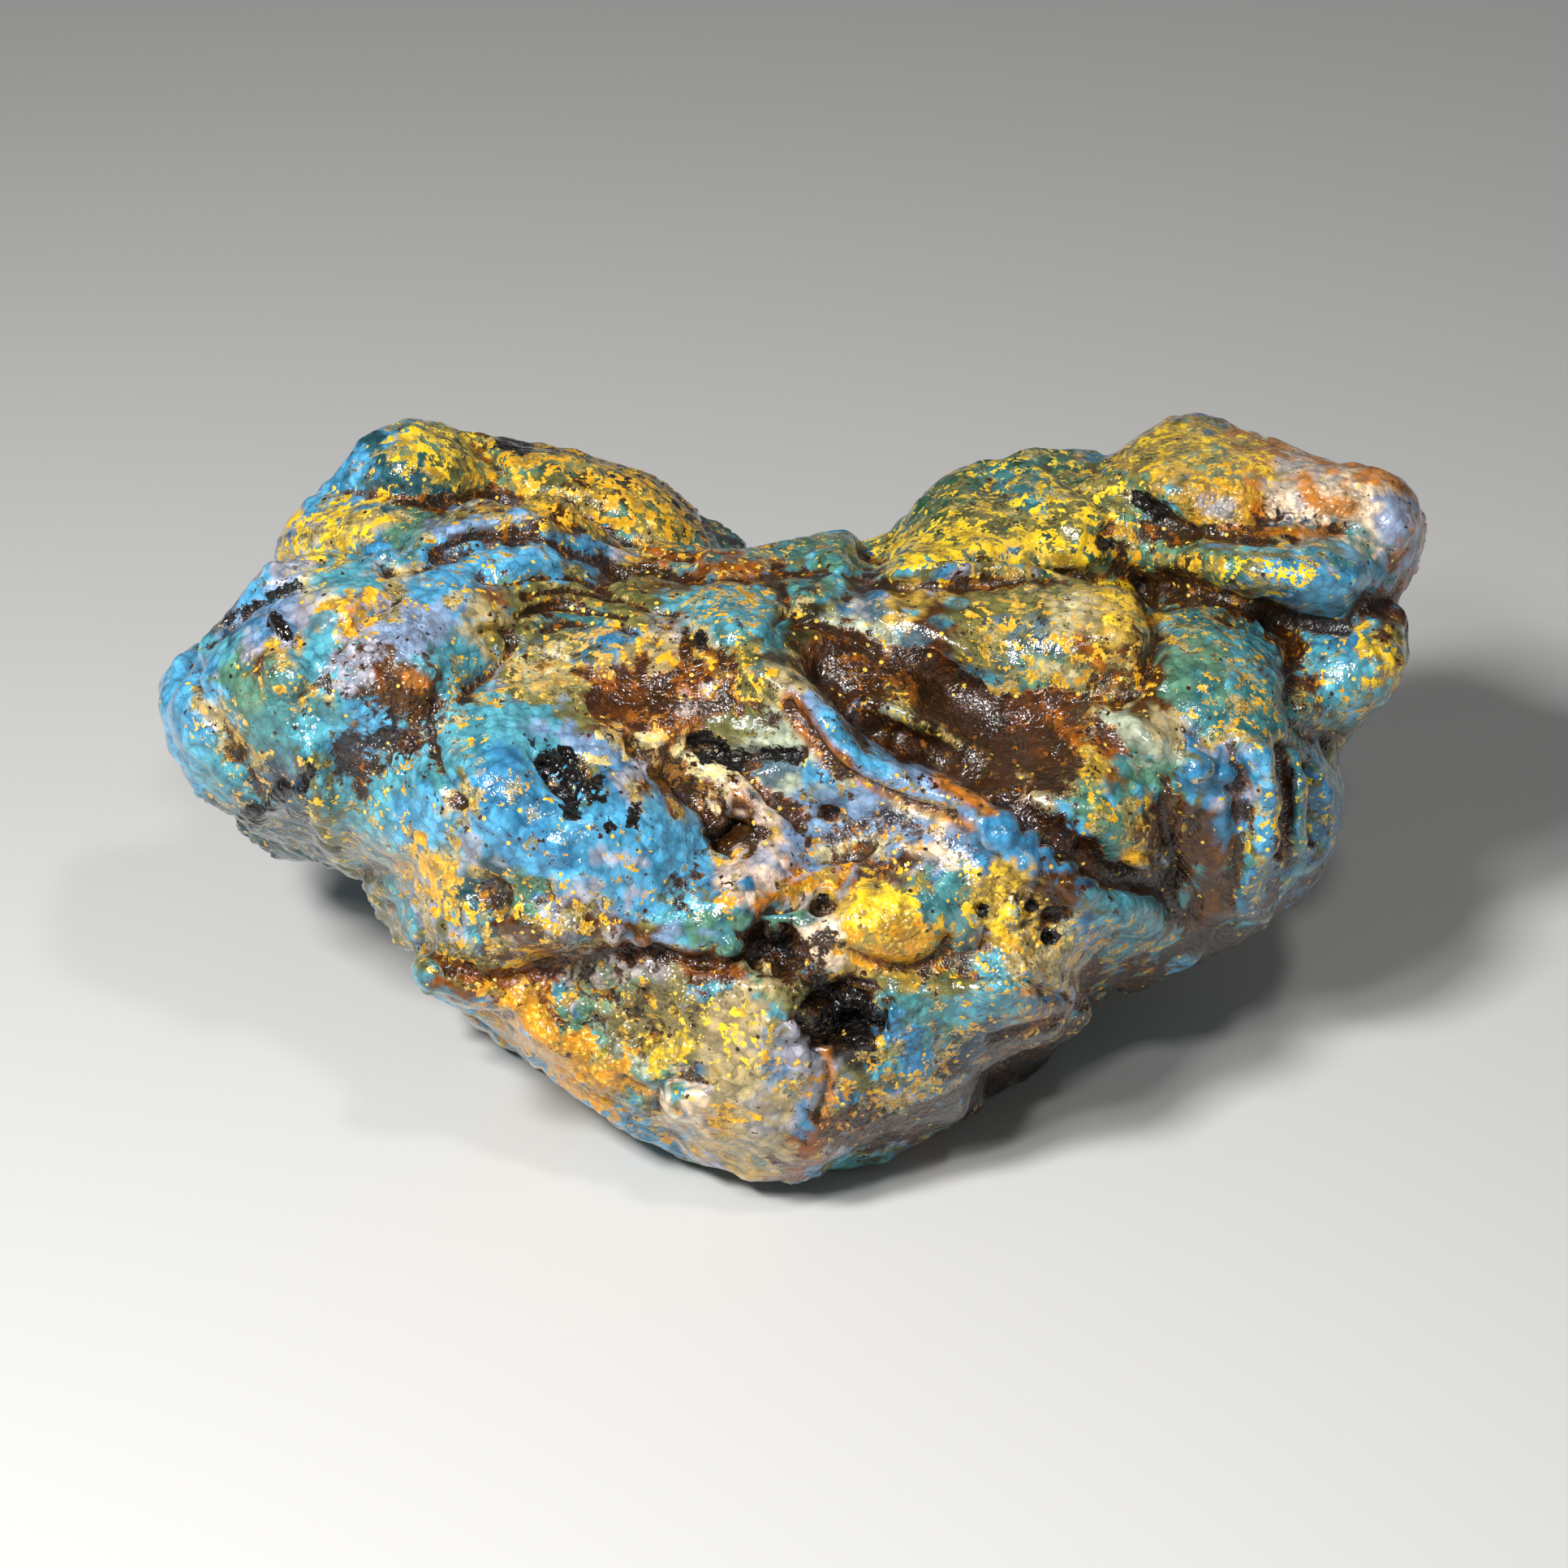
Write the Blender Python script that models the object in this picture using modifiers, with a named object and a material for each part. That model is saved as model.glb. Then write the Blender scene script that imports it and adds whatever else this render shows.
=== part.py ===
"""A lump of rough blue amber, 98 mm wide, lying on the flat worn on its underside.

It is one natural piece, so it is one object. It is laid out as it looks from the side that shows best:
U runs to the right, V upwards and W towards the eye, all in millimetres, with the eye VIEW_DISTANCE
away and looking down by VIEW_ELEVATION. A place given as (u, v) is where a thing is seen, on the plane
W = 0. The finished lump is turned upright, so that +Z is up and -Y is its front.
"""

import math

import bmesh
import bpy
import numpy as np
from mathutils import Matrix, Vector, noise

MM = 0.001
VIEW_DISTANCE = 352.0
VIEW_ELEVATION = math.radians(30.0)
OUTLINE_CENTRE = (0.0, -3.0)
OUTLINE_SLOTS = 240  # the lobes' own outline is measured in this many directions
RIM_START = 0.55  # the rim that is stretched to the outline starts at this share of the way out

# The outline of the lump as the eye sees it, clockwise from the peak of the rear left lobe.
OUTLINE = (
    (-29.5, 28.6), (-26.0, 28.2), (-22.0, 27.0), (-18.0, 26.3), (-14.0, 25.2), (-9.5, 23.4), (-6.0, 20.9),
    (-3.0, 18.8), (0.0, 19.0), (4.0, 19.7), (8.0, 19.5), (10.0, 21.5), (12.0, 23.6), (15.0, 25.6),
    (18.0, 26.3), (22.0, 26.1), (25.0, 25.7), (26.6, 26.3), (28.4, 28.0), (31.5, 28.7), (36.0, 27.5),
    (40.0, 25.8), (45.0, 24.5), (47.5, 24.0), (49.0, 22.0), (49.6, 19.5), (49.0, 16.5), (48.2, 14.0),
    (48.2, 10.0), (47.8, 7.8), (46.4, 6.0), (44.3, 4.0), (43.2, 1.0), (43.1, -3.0), (42.4, -5.5),
    (40.8, -8.3), (38.0, -10.6), (34.5, -13.0), (31.0, -14.4), (27.5, -15.8), (24.0, -18.0),
    (20.0, -21.8), (15.0, -25.4), (10.0, -28.0), (5.0, -29.7), (0.0, -30.6), (-4.5, -30.0), (-9.0, -28.5),
    (-14.0, -25.6), (-19.0, -22.2), (-23.5, -19.0), (-27.8, -15.6), (-29.2, -13.8), (-30.8, -11.6),
    (-31.8, -9.0), (-33.4, -7.3), (-35.5, -6.6), (-38.5, -5.8), (-42.0, -3.6), (-45.0, -1.0),
    (-47.3, 2.0), (-48.0, 4.6), (-48.2, 7.4), (-47.4, 9.6), (-45.8, 11.2), (-44.0, 12.4), (-41.5, 15.6),
    (-39.2, 19.0), (-37.0, 21.8), (-34.6, 24.1), (-33.0, 26.5), (-31.6, 28.0),
)

# The lobes that grew together: centre (u, v, w), half sizes along u, v and w, and turn in the picture.
LOBES = {
    "core": ((-3.0, 0.0, -13.0), (35.0, 19.0, 23.0), 0.0),
    "front wedge": ((-2.0, -14.5, -2.0), (19.0, 15.0, 17.0), 0.0),
    "front left bulge": ((-17.0, -4.0, 1.0), (18.0, 12.0, 14.0), -28.0),
    "front right flank": ((13.0, -9.0, -2.0), (20.0, 12.0, 15.0), 35.0),
    "left mass": ((-32.0, 7.0, -3.0), (15.0, 10.5, 14.0), 22.0),
    "left end": ((-42.0, 4.5, -11.0), (6.5, 8.0, 10.0), 0.0),
    "lower left lobe": ((-38.0, -0.5, -18.0), (10.0, 6.0, 12.0), -35.0),
    "left crest": ((-24.0, 15.5, -9.0), (11.0, 5.2, 11.0), 8.0),
    "rear left peak": ((-30.5, 19.5, -23.0), (9.5, 9.0, 13.0), 25.0),
    "rear left bulge": ((-15.0, 17.5, -27.0), (13.0, 8.5, 13.0), -22.0),
    "saddle": ((-1.0, 13.5, -13.0), (14.0, 6.0, 12.0), 0.0),
    "shelf": ((14.0, 13.0, -9.0), (14.0, 5.4, 11.0), 2.0),
    "rear right dome": ((17.0, 17.5, -22.0), (11.0, 9.0, 13.0), 0.0),
    "honey lobe": ((33.0, 20.5, -21.0), (10.0, 8.3, 13.0), -15.0),
    "honey tip": ((42.0, 19.0, -19.0), (8.5, 6.4, 11.0), -28.0),
    "blue finger": ((37.5, 16.0, -11.0), (8.5, 3.6, 9.0), -10.0),
    "right knob": ((43.2, 8.8, -13.0), (5.6, 5.6, 8.5), 0.0),
    "right mass": ((30.0, 0.5, -10.0), (13.0, 13.5, 16.0), 0.0),
    "golden brow": ((21.5, 10.5, -5.0), (7.5, 5.5, 9.0), 15.0),
    "saddle, right end": ((7.0, 13.5, -17.0), (12.0, 6.8, 14.0), 0.0),
    "neck of the dome": ((24.5, 21.0, -22.0), (9.0, 9.5, 12.5), 0.0),
    "foot of the gully": ((27.5, -8.6, -12.5), (10.5, 8.6, 12.0), 33.0),
    "underside": ((-2.0, -2.0, -23.0), (29.0, 15.0, 20.0), 0.0),
    "left foot": ((-14.0, -12.0, -13.0), (10.0, 12.0, 14.0), 0.0),
    "right foot": ((13.0, -11.5, -14.0), (10.0, 12.0, 14.0), 0.0),
    "rear left body": ((-24.0, 8.0, -25.0), (18.0, 13.0, 15.0), 10.0),
    "rear middle body": ((0.0, 5.0, -30.0), (26.0, 11.0, 14.0), 0.0),
    "rear right body": ((25.0, 7.0, -23.0), (18.0, 14.0, 15.0), -8.0),
}

LOBE_SUBDIVISIONS = 5
VOXEL = 0.8
WELD_PASSES = 10  # rounds of smoothing where two lobes meet
WEAR_PASSES = 3  # rounds of smoothing that take the sharpness off the carved relief


def in_picture(points):
    """Where each point (u, v, w) is seen on the plane W = 0."""
    return points[:, :2] * (VIEW_DISTANCE / (VIEW_DISTANCE - points[:, 2:3]))


def from_picture(seen, depth):
    """The points that are seen at these places and lie at these depths."""
    flat = seen * ((VIEW_DISTANCE - depth) / VIEW_DISTANCE)[:, None]
    return np.column_stack([flat, depth])


def smooth_path(corners, steps=6):
    """A Catmull-Rom curve through the corners, so that few points give a round course."""
    knots = np.array([corners[0], *corners, corners[-1]], float)
    made = []
    for before, start, end, after in zip(knots, knots[1:], knots[2:], knots[3:]):
        for t in np.arange(steps) / steps:
            made.append(
                0.5 * (
                    2 * start
                    + (end - before) * t
                    + (2 * before - 5 * start + 4 * end - after) * t ** 2
                    + (3 * start - before - 3 * end + after) * t ** 3
                )
            )
    made.append(knots[-1])
    return np.array(made)


def path_distance(seen, path):
    """How far each seen place is from a path."""
    nearest = np.full(len(seen), np.inf)
    for start, end in zip(path, path[1:]):
        run = end - start
        away = seen - start
        along = np.clip(away @ run / (run @ run), 0.0, 1.0)
        distance = np.linalg.norm(away - along[:, None] * run, axis=1)
        nearest = np.minimum(nearest, distance)
    return nearest


# Long swellings of the surface: their half width, height and course.
RIDGES = {
    "lip of the gully": (2.0, 3.2, (
        (-1.5, 9.0), (1.5, 7.0), (3.6, 4.4), (5.6, 2.0), (8.6, 0.3), (12.0, -0.6), (15.5, -2.2),
        (18.5, -4.8), (21.5, -7.0), (25.0, -8.8), (28.0, -10.2),
    )),
    "pale ridge": (2.4, 0.9, (
        (-10.0, 4.2), (-6.0, 2.0), (-2.8, -0.8), (-0.2, -3.0), (-2.6, -6.6), (-5.5, -8.0),
    )),
    "left front edge": (1.6, 2.0, ((-36.5, 2.0), (-34.5, -3.5), (-32.0, -8.0), (-29.0, -11.5))),
    "orange band": (1.9, 1.6, ((-27.0, -15.0), (-22.0, -17.0), (-18.0, -19.5), (-13.0, -22.8))),
    "first rib": (1.1, 1.9, ((36.0, 3.0), (37.2, -0.5), (37.4, -4.0), (36.4, -8.0), (37.0, -10.0))),
    "second rib": (0.8, 1.5, ((39.4, 2.0), (40.0, -1.6), (39.6, -5.0), (38.8, -8.0))),
    "third rib": (0.9, 1.5, ((41.2, 0.5), (42.2, -3.0), (40.8, -7.2))),
    "golden shelf": (1.4, 2.4, ((4.5, 16.9), (9.0, 16.9), (15.0, 17.9), (20.5, 18.6), (24.0, 17.0))),
    "left blue lip": (1.0, 1.8, ((-27.6, 18.2), (-24.5, 19.9), (-21.0, 20.4), (-18.0, 19.6))),
    "lower roll": (1.6, 1.4, ((-9.0, -10.5), (-14.0, -11.4), (-19.0, -11.0), (-24.0, -10.5))),
    "right lower roll": (2.2, 1.8, ((8.0, -15.6), (14.0, -16.0), (20.0, -14.5), (26.0, -12.8))),
}

# Creases and gullies: their half width, depth and course.
FURROWS = {
    "gully": (1.8, 3.8, (
        (0.2, 10.2), (3.8, 7.6), (7.4, 4.6), (10.4, 2.9), (14.0, 1.1), (17.4, -1.2), (20.6, -4.0),
        (24.6, -6.8), (28.4, -7.8), (30.2, -9.6),
    )),
    "lower crack": (1.3, 1.7, (
        (-31.5, -8.6), (-28.2, -11.9), (-25.0, -14.0), (-21.2, -14.9), (-17.0, -13.9), (-13.0, -12.8),
        (-9.0, -12.9), (-5.0, -13.8), (-1.5, -13.4), (2.0, -14.9), (7.0, -14.8), (12.0, -14.1),
        (15.0, -12.6),
    )),
    "rear left valley": (1.9, 2.5, (
        (-35.5, 22.8), (-31.0, 22.0), (-26.0, 22.0), (-21.0, 21.2), (-15.5, 20.0), (-11.5, 18.2),
        (-7.5, 17.5),
    )),
    "under the left lip": (0.9, 1.3, (
        (-27.4, 17.5), (-23.5, 18.9), (-19.5, 18.8), (-15.5, 17.2), (-11.0, 16.4),
    )),
    "left seam": (1.0, 1.4, ((-44.5, 11.0), (-41.0, 13.6), (-37.4, 15.6), (-33.0, 16.6), (-28.6, 16.6))),
    "shelf crease": (1.3, 1.9, (
        (-10.0, 16.2), (-5.0, 16.2), (1.0, 16.4), (6.0, 15.4), (12.0, 15.2), (19.0, 15.9), (24.6, 15.9),
        (27.6, 14.4), (29.2, 12.2),
    )),
    "above the finger": (1.2, 1.5, (
        (28.0, 20.0), (32.0, 18.8), (37.0, 18.9), (41.5, 19.7), (44.6, 18.2), (45.4, 15.0),
    )),
    "below the finger": (1.3, 2.2, ((28.0, 15.4), (32.5, 14.4), (37.0, 12.9), (41.5, 12.3), (45.5, 13.4))),
    "behind the knob": (1.1, 2.4, ((37.6, 12.6), (39.4, 9.0), (39.2, 5.4), (41.0, 2.6))),
    "dome and honey lobe": (1.3, 2.0, ((24.6, 22.8), (26.4, 21.8), (28.4, 20.9), (31.0, 19.4))),
    "left end seam": (1.1, 2.0, (
        (-45.2, 10.6), (-45.8, 7.4), (-43.6, 4.8), (-42.2, 1.6), (-39.6, -1.6), (-37.0, -3.6),
    )),
    "between the ribs": (0.7, 1.6, ((38.6, 2.0), (38.8, -2.0), (38.4, -5.6))),
    "rusty groove": (1.6, 1.3, ((-12.0, 2.6), (-8.4, 0.6), (-5.6, -2.4), (-3.8, -4.4))),
    "black groove": (1.3, 1.4, ((-7.0, 3.2), (-3.4, 2.0), (-0.4, -0.4), (2.4, -2.2), (4.6, -2.6))),
    "orange crevice": (1.1, 1.8, ((-1.6, -9.0), (1.0, -7.4), (4.0, -6.6), (6.6, -6.2))),
    "second gully": (0.6, 1.0, ((5.0, 5.8), (8.5, 3.6), (12.5, 1.9))),
}

# Rounded swellings, or pits where the height is below 0: centre, half sizes, turn in the picture, height.
MOUNDS = {
    "basin, upper": ((7.5, 9.4), (9.0, 4.2), -22.0, -3.8),
    "basin, lower": ((16.5, 4.6), (8.5, 3.8), -38.0, -4.0),
    "right hollow": ((31.5, -6.0), (3.6, 6.0), 12.0, -1.8),
    "yellow lump": ((8.6, -10.4), (5.6, 4.4), -10.0, 2.6),
    "blue bulge": ((-17.5, -3.6), (12.0, 6.4), -22.0, 2.6),
    "blue brow": ((-21.5, 2.5), (5.6, 4.0), 20.0, 1.2),
    "gold knob": ((-38.4, 8.6), (3.0, 3.0), 0.0, 1.2),
    "druse": ((-30.0, 8.2), (6.6, 4.6), 20.0, 1.6),
    "yellow mound": ((-17.0, 8.6), (5.0, 3.4), 0.0, 1.3),
    "teal mound": ((-4.2, 13.4), (6.0, 2.8), -18.0, 1.6),
    "crystal recess": ((-9.5, -18.2), (9.5, 5.2), -12.0, -1.8),
    "black pit": ((4.6, -18.0), (3.6, 3.0), -15.0, -3.6),
    "brown pit": ((-1.2, -12.6), (3.0, 2.4), -10.0, -3.0),
    "amber pit": ((-4.0, -4.0), (2.2, 1.8), 0.0, -2.0),
    "small socket": ((3.0, -9.0), (1.5, 1.3), 0.0, -1.4),
    "charred pit": ((-17.0, 0.4), (3.0, 2.4), -15.0, -1.2),
    "blue grape knob": ((32.0, 1.0), (2.4, 2.2), 0.0, 1.4),
    "gold rim of the brow": ((26.0, 11.6), (2.6, 4.4), 0.0, 1.6),
    "pale shoulder": ((28.0, 3.4), (3.6, 2.4), -30.0, 1.2),
    "lower right swell": ((20.0, -15.5), (8.0, 4.0), 30.0, 1.4),
    "toe": ((-6.0, -25.0), (7.0, 3.0), 0.0, 1.2),
}

# Small lumps and dents come from smooth noise: size and depth. Away from the front the large ones do too.
FRONT_SWELLS = ((9.0, 1.1), (4.5, 0.7))
SIDE_SWELLS = ((16.0, 3.6), (8.0, 2.0), (4.0, 0.7))
SIDE_CREASES = (13.0, 0.12, 1.5)  # spacing, sharpness and depth of the creases between those swells
NOISE_ORIGIN = Vector((3.1, 7.7, 1.9))
FRONT_FADE = (-0.05, 0.4)  # the front relief comes in between these shares of facing the eye

# Where the middle of the picture, (0, 0, 0), lies in the upright lump's own frame.
VIEW_ORIGIN = (-0.8, -11.75, 27.6)
MOST_TRIANGLES = 9700


def clear_scene():
    """Empties the scene, so that the lump is the only thing in it."""
    for obj in list(bpy.data.objects):
        bpy.data.objects.remove(obj, do_unlink=True)


def new_collection(name, shown):
    """Makes a collection in the scene, which a render shows or leaves out."""
    collection = bpy.data.collections.new(name)
    collection.hide_render = not shown
    bpy.context.scene.collection.children.link(collection)
    return collection


def lobes_object(collection):
    """All the lobes as one mesh of overlapping ellipsoids, which a voxel remesh then unites."""
    built = bmesh.new()
    for centre, half_sizes, turn in LOBES.values():
        place = (
            Matrix.Translation(Vector(centre) * MM)
            @ Matrix.Rotation(math.radians(turn), 4, "Z")
            @ Matrix.Diagonal((*(half * MM for half in half_sizes), 1.0))
        )
        bmesh.ops.create_icosphere(built, subdivisions=LOBE_SUBDIVISIONS, radius=1.0, matrix=place)
    mesh = bpy.data.meshes.new("lobes")
    built.to_mesh(mesh)
    built.free()
    lobes = bpy.data.objects.new("lobes", mesh)
    collection.objects.link(lobes)
    unite = lobes.modifiers.new("unite", "REMESH")
    unite.mode = "VOXEL"
    unite.voxel_size = VOXEL * MM
    soften = lobes.modifiers.new("soften", "SMOOTH")
    soften.factor = 0.5
    soften.iterations = WELD_PASSES
    lobes.hide_render = True
    lobes.display_type = "WIRE"
    return lobes


def evaluated_mesh(obj, name):
    """A new mesh, as the object's modifiers leave it."""
    bpy.context.view_layer.update()
    graph = bpy.context.evaluated_depsgraph_get()
    mesh = bpy.data.meshes.new_from_object(obj.evaluated_get(graph))
    mesh.name = name
    return mesh


def points_of(mesh):
    """The mesh's points in millimetres."""
    flat = np.empty(len(mesh.vertices) * 3)
    mesh.vertices.foreach_get("co", flat)
    return flat.reshape(-1, 3) / MM


def normals_of(mesh):
    """The direction out of the lump at each of the mesh's points."""
    flat = np.empty(len(mesh.vertices) * 3)
    mesh.vertex_normals.foreach_get("vector", flat)
    return flat.reshape(-1, 3)


def set_points(mesh, points):
    """Moves the mesh's points to these places in millimetres."""
    mesh.vertices.foreach_set("co", (points * MM).ravel())
    mesh.update()


def polar(seen):
    """Each seen place as its angle and its distance from the middle of the outline."""
    away = seen - np.array(OUTLINE_CENTRE)
    return np.arctan2(away[:, 1], away[:, 0]), np.linalg.norm(away, axis=1)


def radius_round(angles, radii, at):
    """Reads a closed outline, given by its angles and radii, at other angles."""
    order = np.argsort(angles)
    return np.interp(at, angles[order], radii[order], period=2 * math.pi)


def fit_to_outline(points):
    """Stretches the rim of the lump so that its outline is the one given, and leaves the middle alone."""
    seen = in_picture(points)
    angle, radius = polar(seen)
    slot = ((angle + math.pi) / (2 * math.pi) * OUTLINE_SLOTS).astype(int) % OUTLINE_SLOTS
    reach = np.zeros(OUTLINE_SLOTS)
    np.maximum.at(reach, slot, radius)
    slot_angles = (np.arange(OUTLINE_SLOTS) + 0.5) / OUTLINE_SLOTS * 2 * math.pi - math.pi
    target_angle, target_radius = polar(smooth_path((*OUTLINE, OUTLINE[0]), 4)[:-1])
    now = radius_round(slot_angles, reach, angle)
    wanted = radius_round(target_angle, target_radius, angle)
    share = np.clip((radius / now - RIM_START) / (1 - RIM_START), 0.0, 1.0)
    share = share * share * (3 - 2 * share)
    stretch = 1 + (wanted / now - 1) * share
    centre = np.array(OUTLINE_CENTRE)
    return from_picture(centre + (seen - centre) * stretch[:, None], points[:, 2])


def front_relief(seen):
    """The height of the front's ridges, furrows and mounds at each seen place."""
    height = np.zeros(len(seen))
    for half_width, rise, course in RIDGES.values():
        distance = path_distance(seen, smooth_path(course))
        height += rise * np.exp(-(distance / half_width) ** 2)
    for half_width, depth, course in FURROWS.values():
        distance = path_distance(seen, smooth_path(course))
        height -= depth * np.exp(-(distance / half_width) ** 1.6)
    for centre, half_sizes, turn, rise in MOUNDS.values():
        away = seen - np.array(centre)
        c, s = math.cos(math.radians(turn)), math.sin(math.radians(turn))
        q = np.hypot((away[:, 0] * c + away[:, 1] * s) / half_sizes[0],
                     (away[:, 1] * c - away[:, 0] * s) / half_sizes[1])
        height += rise * np.clip(1 - q * q, 0.0, 1.0) ** 1.2
    return height


def smooth_noise(points, size, shift=0.0):
    """Smooth noise between about -1 and 1, whose lumps are about this size in millimetres."""
    origin = NOISE_ORIGIN + Vector((shift, shift, shift))
    return np.array([noise.noise(Vector(point) / size + origin) for point in points])


def swells(points, sizes_and_depths):
    """The height of round lumps and dents of several sizes."""
    return sum(depth * smooth_noise(points, size) for size, depth in sizes_and_depths)


def creases(points):
    """The depth of the narrow creases that wander over the sides and the back."""
    spacing, sharpness, depth = SIDE_CREASES
    return -depth * np.exp(-(smooth_noise(points, spacing, 5.0) / sharpness) ** 2)


def carve(mesh):
    """Gives the lobes their swells away from the front, then the lump its outline and its front relief."""
    points, normals = points_of(mesh), normals_of(mesh)
    low, high = FRONT_FADE
    facing = np.clip((normals[:, 2] - low) / (high - low), 0.0, 1.0)
    side_relief = swells(points, SIDE_SWELLS) + creases(points)
    points += normals * (side_relief * (1 - facing))[:, None]
    points = fit_to_outline(points)
    relief = front_relief(in_picture(points)) + swells(points, FRONT_SWELLS)
    depth = points[:, 2] + relief * facing
    set_points(mesh, from_picture(in_picture(points), depth))


def stand_upright(mesh):
    """Turns the lump from the picture's axes to its own, with the floor at Z = 0."""
    mesh.transform(Matrix.Rotation(math.pi / 2 - VIEW_ELEVATION, 4, "X"))
    mesh.transform(Matrix.Translation(Vector(VIEW_ORIGIN) * MM))


def wear_flat(mesh):
    """Cuts the underside off level at the floor, and leaves one flat face there."""
    cut = bmesh.new()
    cut.from_mesh(mesh)
    everything = cut.verts[:] + cut.edges[:] + cut.faces[:]
    bmesh.ops.bisect_plane(
        cut, geom=everything, dist=1e-6, plane_co=(0, 0, 0), plane_no=(0, 0, 1), clear_inner=True
    )
    rim = [edge for edge in cut.edges if edge.is_boundary]
    bmesh.ops.holes_fill(cut, edges=rim, sides=0)
    bmesh.ops.triangulate(cut, faces=cut.faces[:])
    cut.to_mesh(mesh)
    cut.free()


def worn_and_thinned(mesh, most):
    """The mesh with its sharpest folds worn down, and with triangles left out where it is smooth."""
    holder = bpy.data.objects.new("thinning", mesh)
    bpy.context.scene.collection.objects.link(holder)
    triangles = sum(len(face.vertices) - 2 for face in mesh.polygons)
    wear = holder.modifiers.new("wear", "SMOOTH")
    wear.factor = 0.5
    wear.iterations = WEAR_PASSES
    thin = holder.modifiers.new("thin", "DECIMATE")
    thin.ratio = min(1.0, most / triangles)
    thin.use_collapse_triangulate = True
    made = evaluated_mesh(holder, "amber_lump")
    bpy.data.objects.remove(holder)
    return made


def amber_material():
    """The lump's mean colour, a dark teal, with the gloss of wet resin."""
    material = bpy.data.materials.new("blue_amber")
    material.use_nodes = True
    shader = material.node_tree.nodes["Principled BSDF"]
    shader.inputs["Base Color"].default_value = (0.12, 0.27, 0.30, 1.0)
    shader.inputs["Roughness"].default_value = 0.25
    shader.inputs["Metallic"].default_value = 0.0
    shader.inputs["IOR"].default_value = 1.54
    return material


def main():
    """Unites the lobes, carves them, and lays the lump down on its worn flat."""
    clear_scene()
    lump_collection = new_collection("rough_amber", True)
    helpers = new_collection("helpers", False)
    lobes = lobes_object(helpers)
    mesh = evaluated_mesh(lobes, "carved")
    carve(mesh)
    mesh = worn_and_thinned(mesh, MOST_TRIANGLES)
    stand_upright(mesh)
    wear_flat(mesh)
    mesh.shade_smooth()
    mesh.materials.clear()
    mesh.materials.append(amber_material())
    lump_collection.objects.link(bpy.data.objects.new("amber_lump", mesh))


main()
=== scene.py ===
"""A lump of rough blue amber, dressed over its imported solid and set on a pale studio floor.

A place on the lump's front is given as (u, v), in millimetres right of and above the middle of the view
from the camera, measured on the plane through VIEW_ORIGIN that faces the camera.
"""
import math

import bpy
import numpy as np
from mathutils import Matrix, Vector, noise


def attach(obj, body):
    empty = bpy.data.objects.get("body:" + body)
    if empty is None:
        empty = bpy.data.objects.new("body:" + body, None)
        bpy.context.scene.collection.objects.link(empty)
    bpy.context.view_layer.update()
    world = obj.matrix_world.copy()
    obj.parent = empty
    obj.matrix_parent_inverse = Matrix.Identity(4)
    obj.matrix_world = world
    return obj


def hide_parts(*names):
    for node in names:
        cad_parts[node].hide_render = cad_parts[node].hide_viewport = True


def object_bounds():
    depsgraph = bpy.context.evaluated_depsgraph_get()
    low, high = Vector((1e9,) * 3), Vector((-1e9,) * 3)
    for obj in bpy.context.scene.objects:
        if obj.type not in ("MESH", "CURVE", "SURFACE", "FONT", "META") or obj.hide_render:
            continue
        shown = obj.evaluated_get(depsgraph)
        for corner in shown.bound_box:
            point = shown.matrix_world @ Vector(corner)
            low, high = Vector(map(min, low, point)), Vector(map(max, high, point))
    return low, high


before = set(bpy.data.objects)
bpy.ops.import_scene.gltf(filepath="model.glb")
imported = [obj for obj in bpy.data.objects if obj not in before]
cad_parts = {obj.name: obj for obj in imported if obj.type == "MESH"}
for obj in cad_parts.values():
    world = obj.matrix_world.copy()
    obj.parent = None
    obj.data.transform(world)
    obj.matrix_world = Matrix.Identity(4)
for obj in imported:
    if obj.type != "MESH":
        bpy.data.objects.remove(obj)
solid_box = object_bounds()

# The studio: a matt pale table, a soft white room, and a camera with a long close-up lens, as a collector
# would photograph a stone of this size. The key light hangs at the upper left in front, a wide one fills in
# from the right and a weak one from behind, and two small lamps add small sharp highlights to the oily skin.

MM = 0.001
VIEW_ELEVATION = math.radians(30.0)
VIEW_DISTANCE = 352.0  # mm from the camera to VIEW_ORIGIN, at which a 105 mm lens spans 120.7 mm
VIEW_ORIGIN = Vector((-0.8, -11.75, 27.6))  # mm
TOWARDS_CAMERA = Vector((0.0, -math.cos(VIEW_ELEVATION), math.sin(VIEW_ELEVATION)))
LENS, SENSOR_WIDTH = 105.0, 36.0  # mm
NEAREST_SEEN = 0.01  # m
TABLE_SIDE = 4000.0  # mm
BOARD_ROUGHNESS = 0.9  # painted board: pale, even and without a shine
ROOM_COLOUR, ROOM_STRENGTH = "#DFE4EA", 0.09
LAMP_AIM = Vector((0.0, 0.0, 20.0))  # mm, inside the stone
LAMPS = (  # name, place in mm from the table's centre, side in mm, watts and colour
    ("key_box", (-160.0, -200.0, 300.0), 65.0, 1.6, "#FFFFFF"),
    ("fill_box", (260.0, -300.0, 160.0), 220.0, 0.10, "#FFF8F0"),
    ("back_box", (150.0, 320.0, 240.0), 260.0, 0.05, "#FFFFFF"),
    ("spark_left", (-110.0, -220.0, 240.0), 32.0, 0.30, "#FFFFFF"),
    ("spark_right", (70.0, -160.0, 300.0), 32.0, 0.20, "#FFFFFF"),
)


def linear(hex_colour):
    """An sRGB colour written as #RRGGBB, as the linear values that a shader takes."""
    shares = [int(hex_colour[i:i + 2], 16) / 255 for i in (1, 3, 5)]
    return tuple(s / 12.92 if s <= 0.04045 else ((s + 0.055) / 1.055) ** 2.4 for s in shares)


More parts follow.
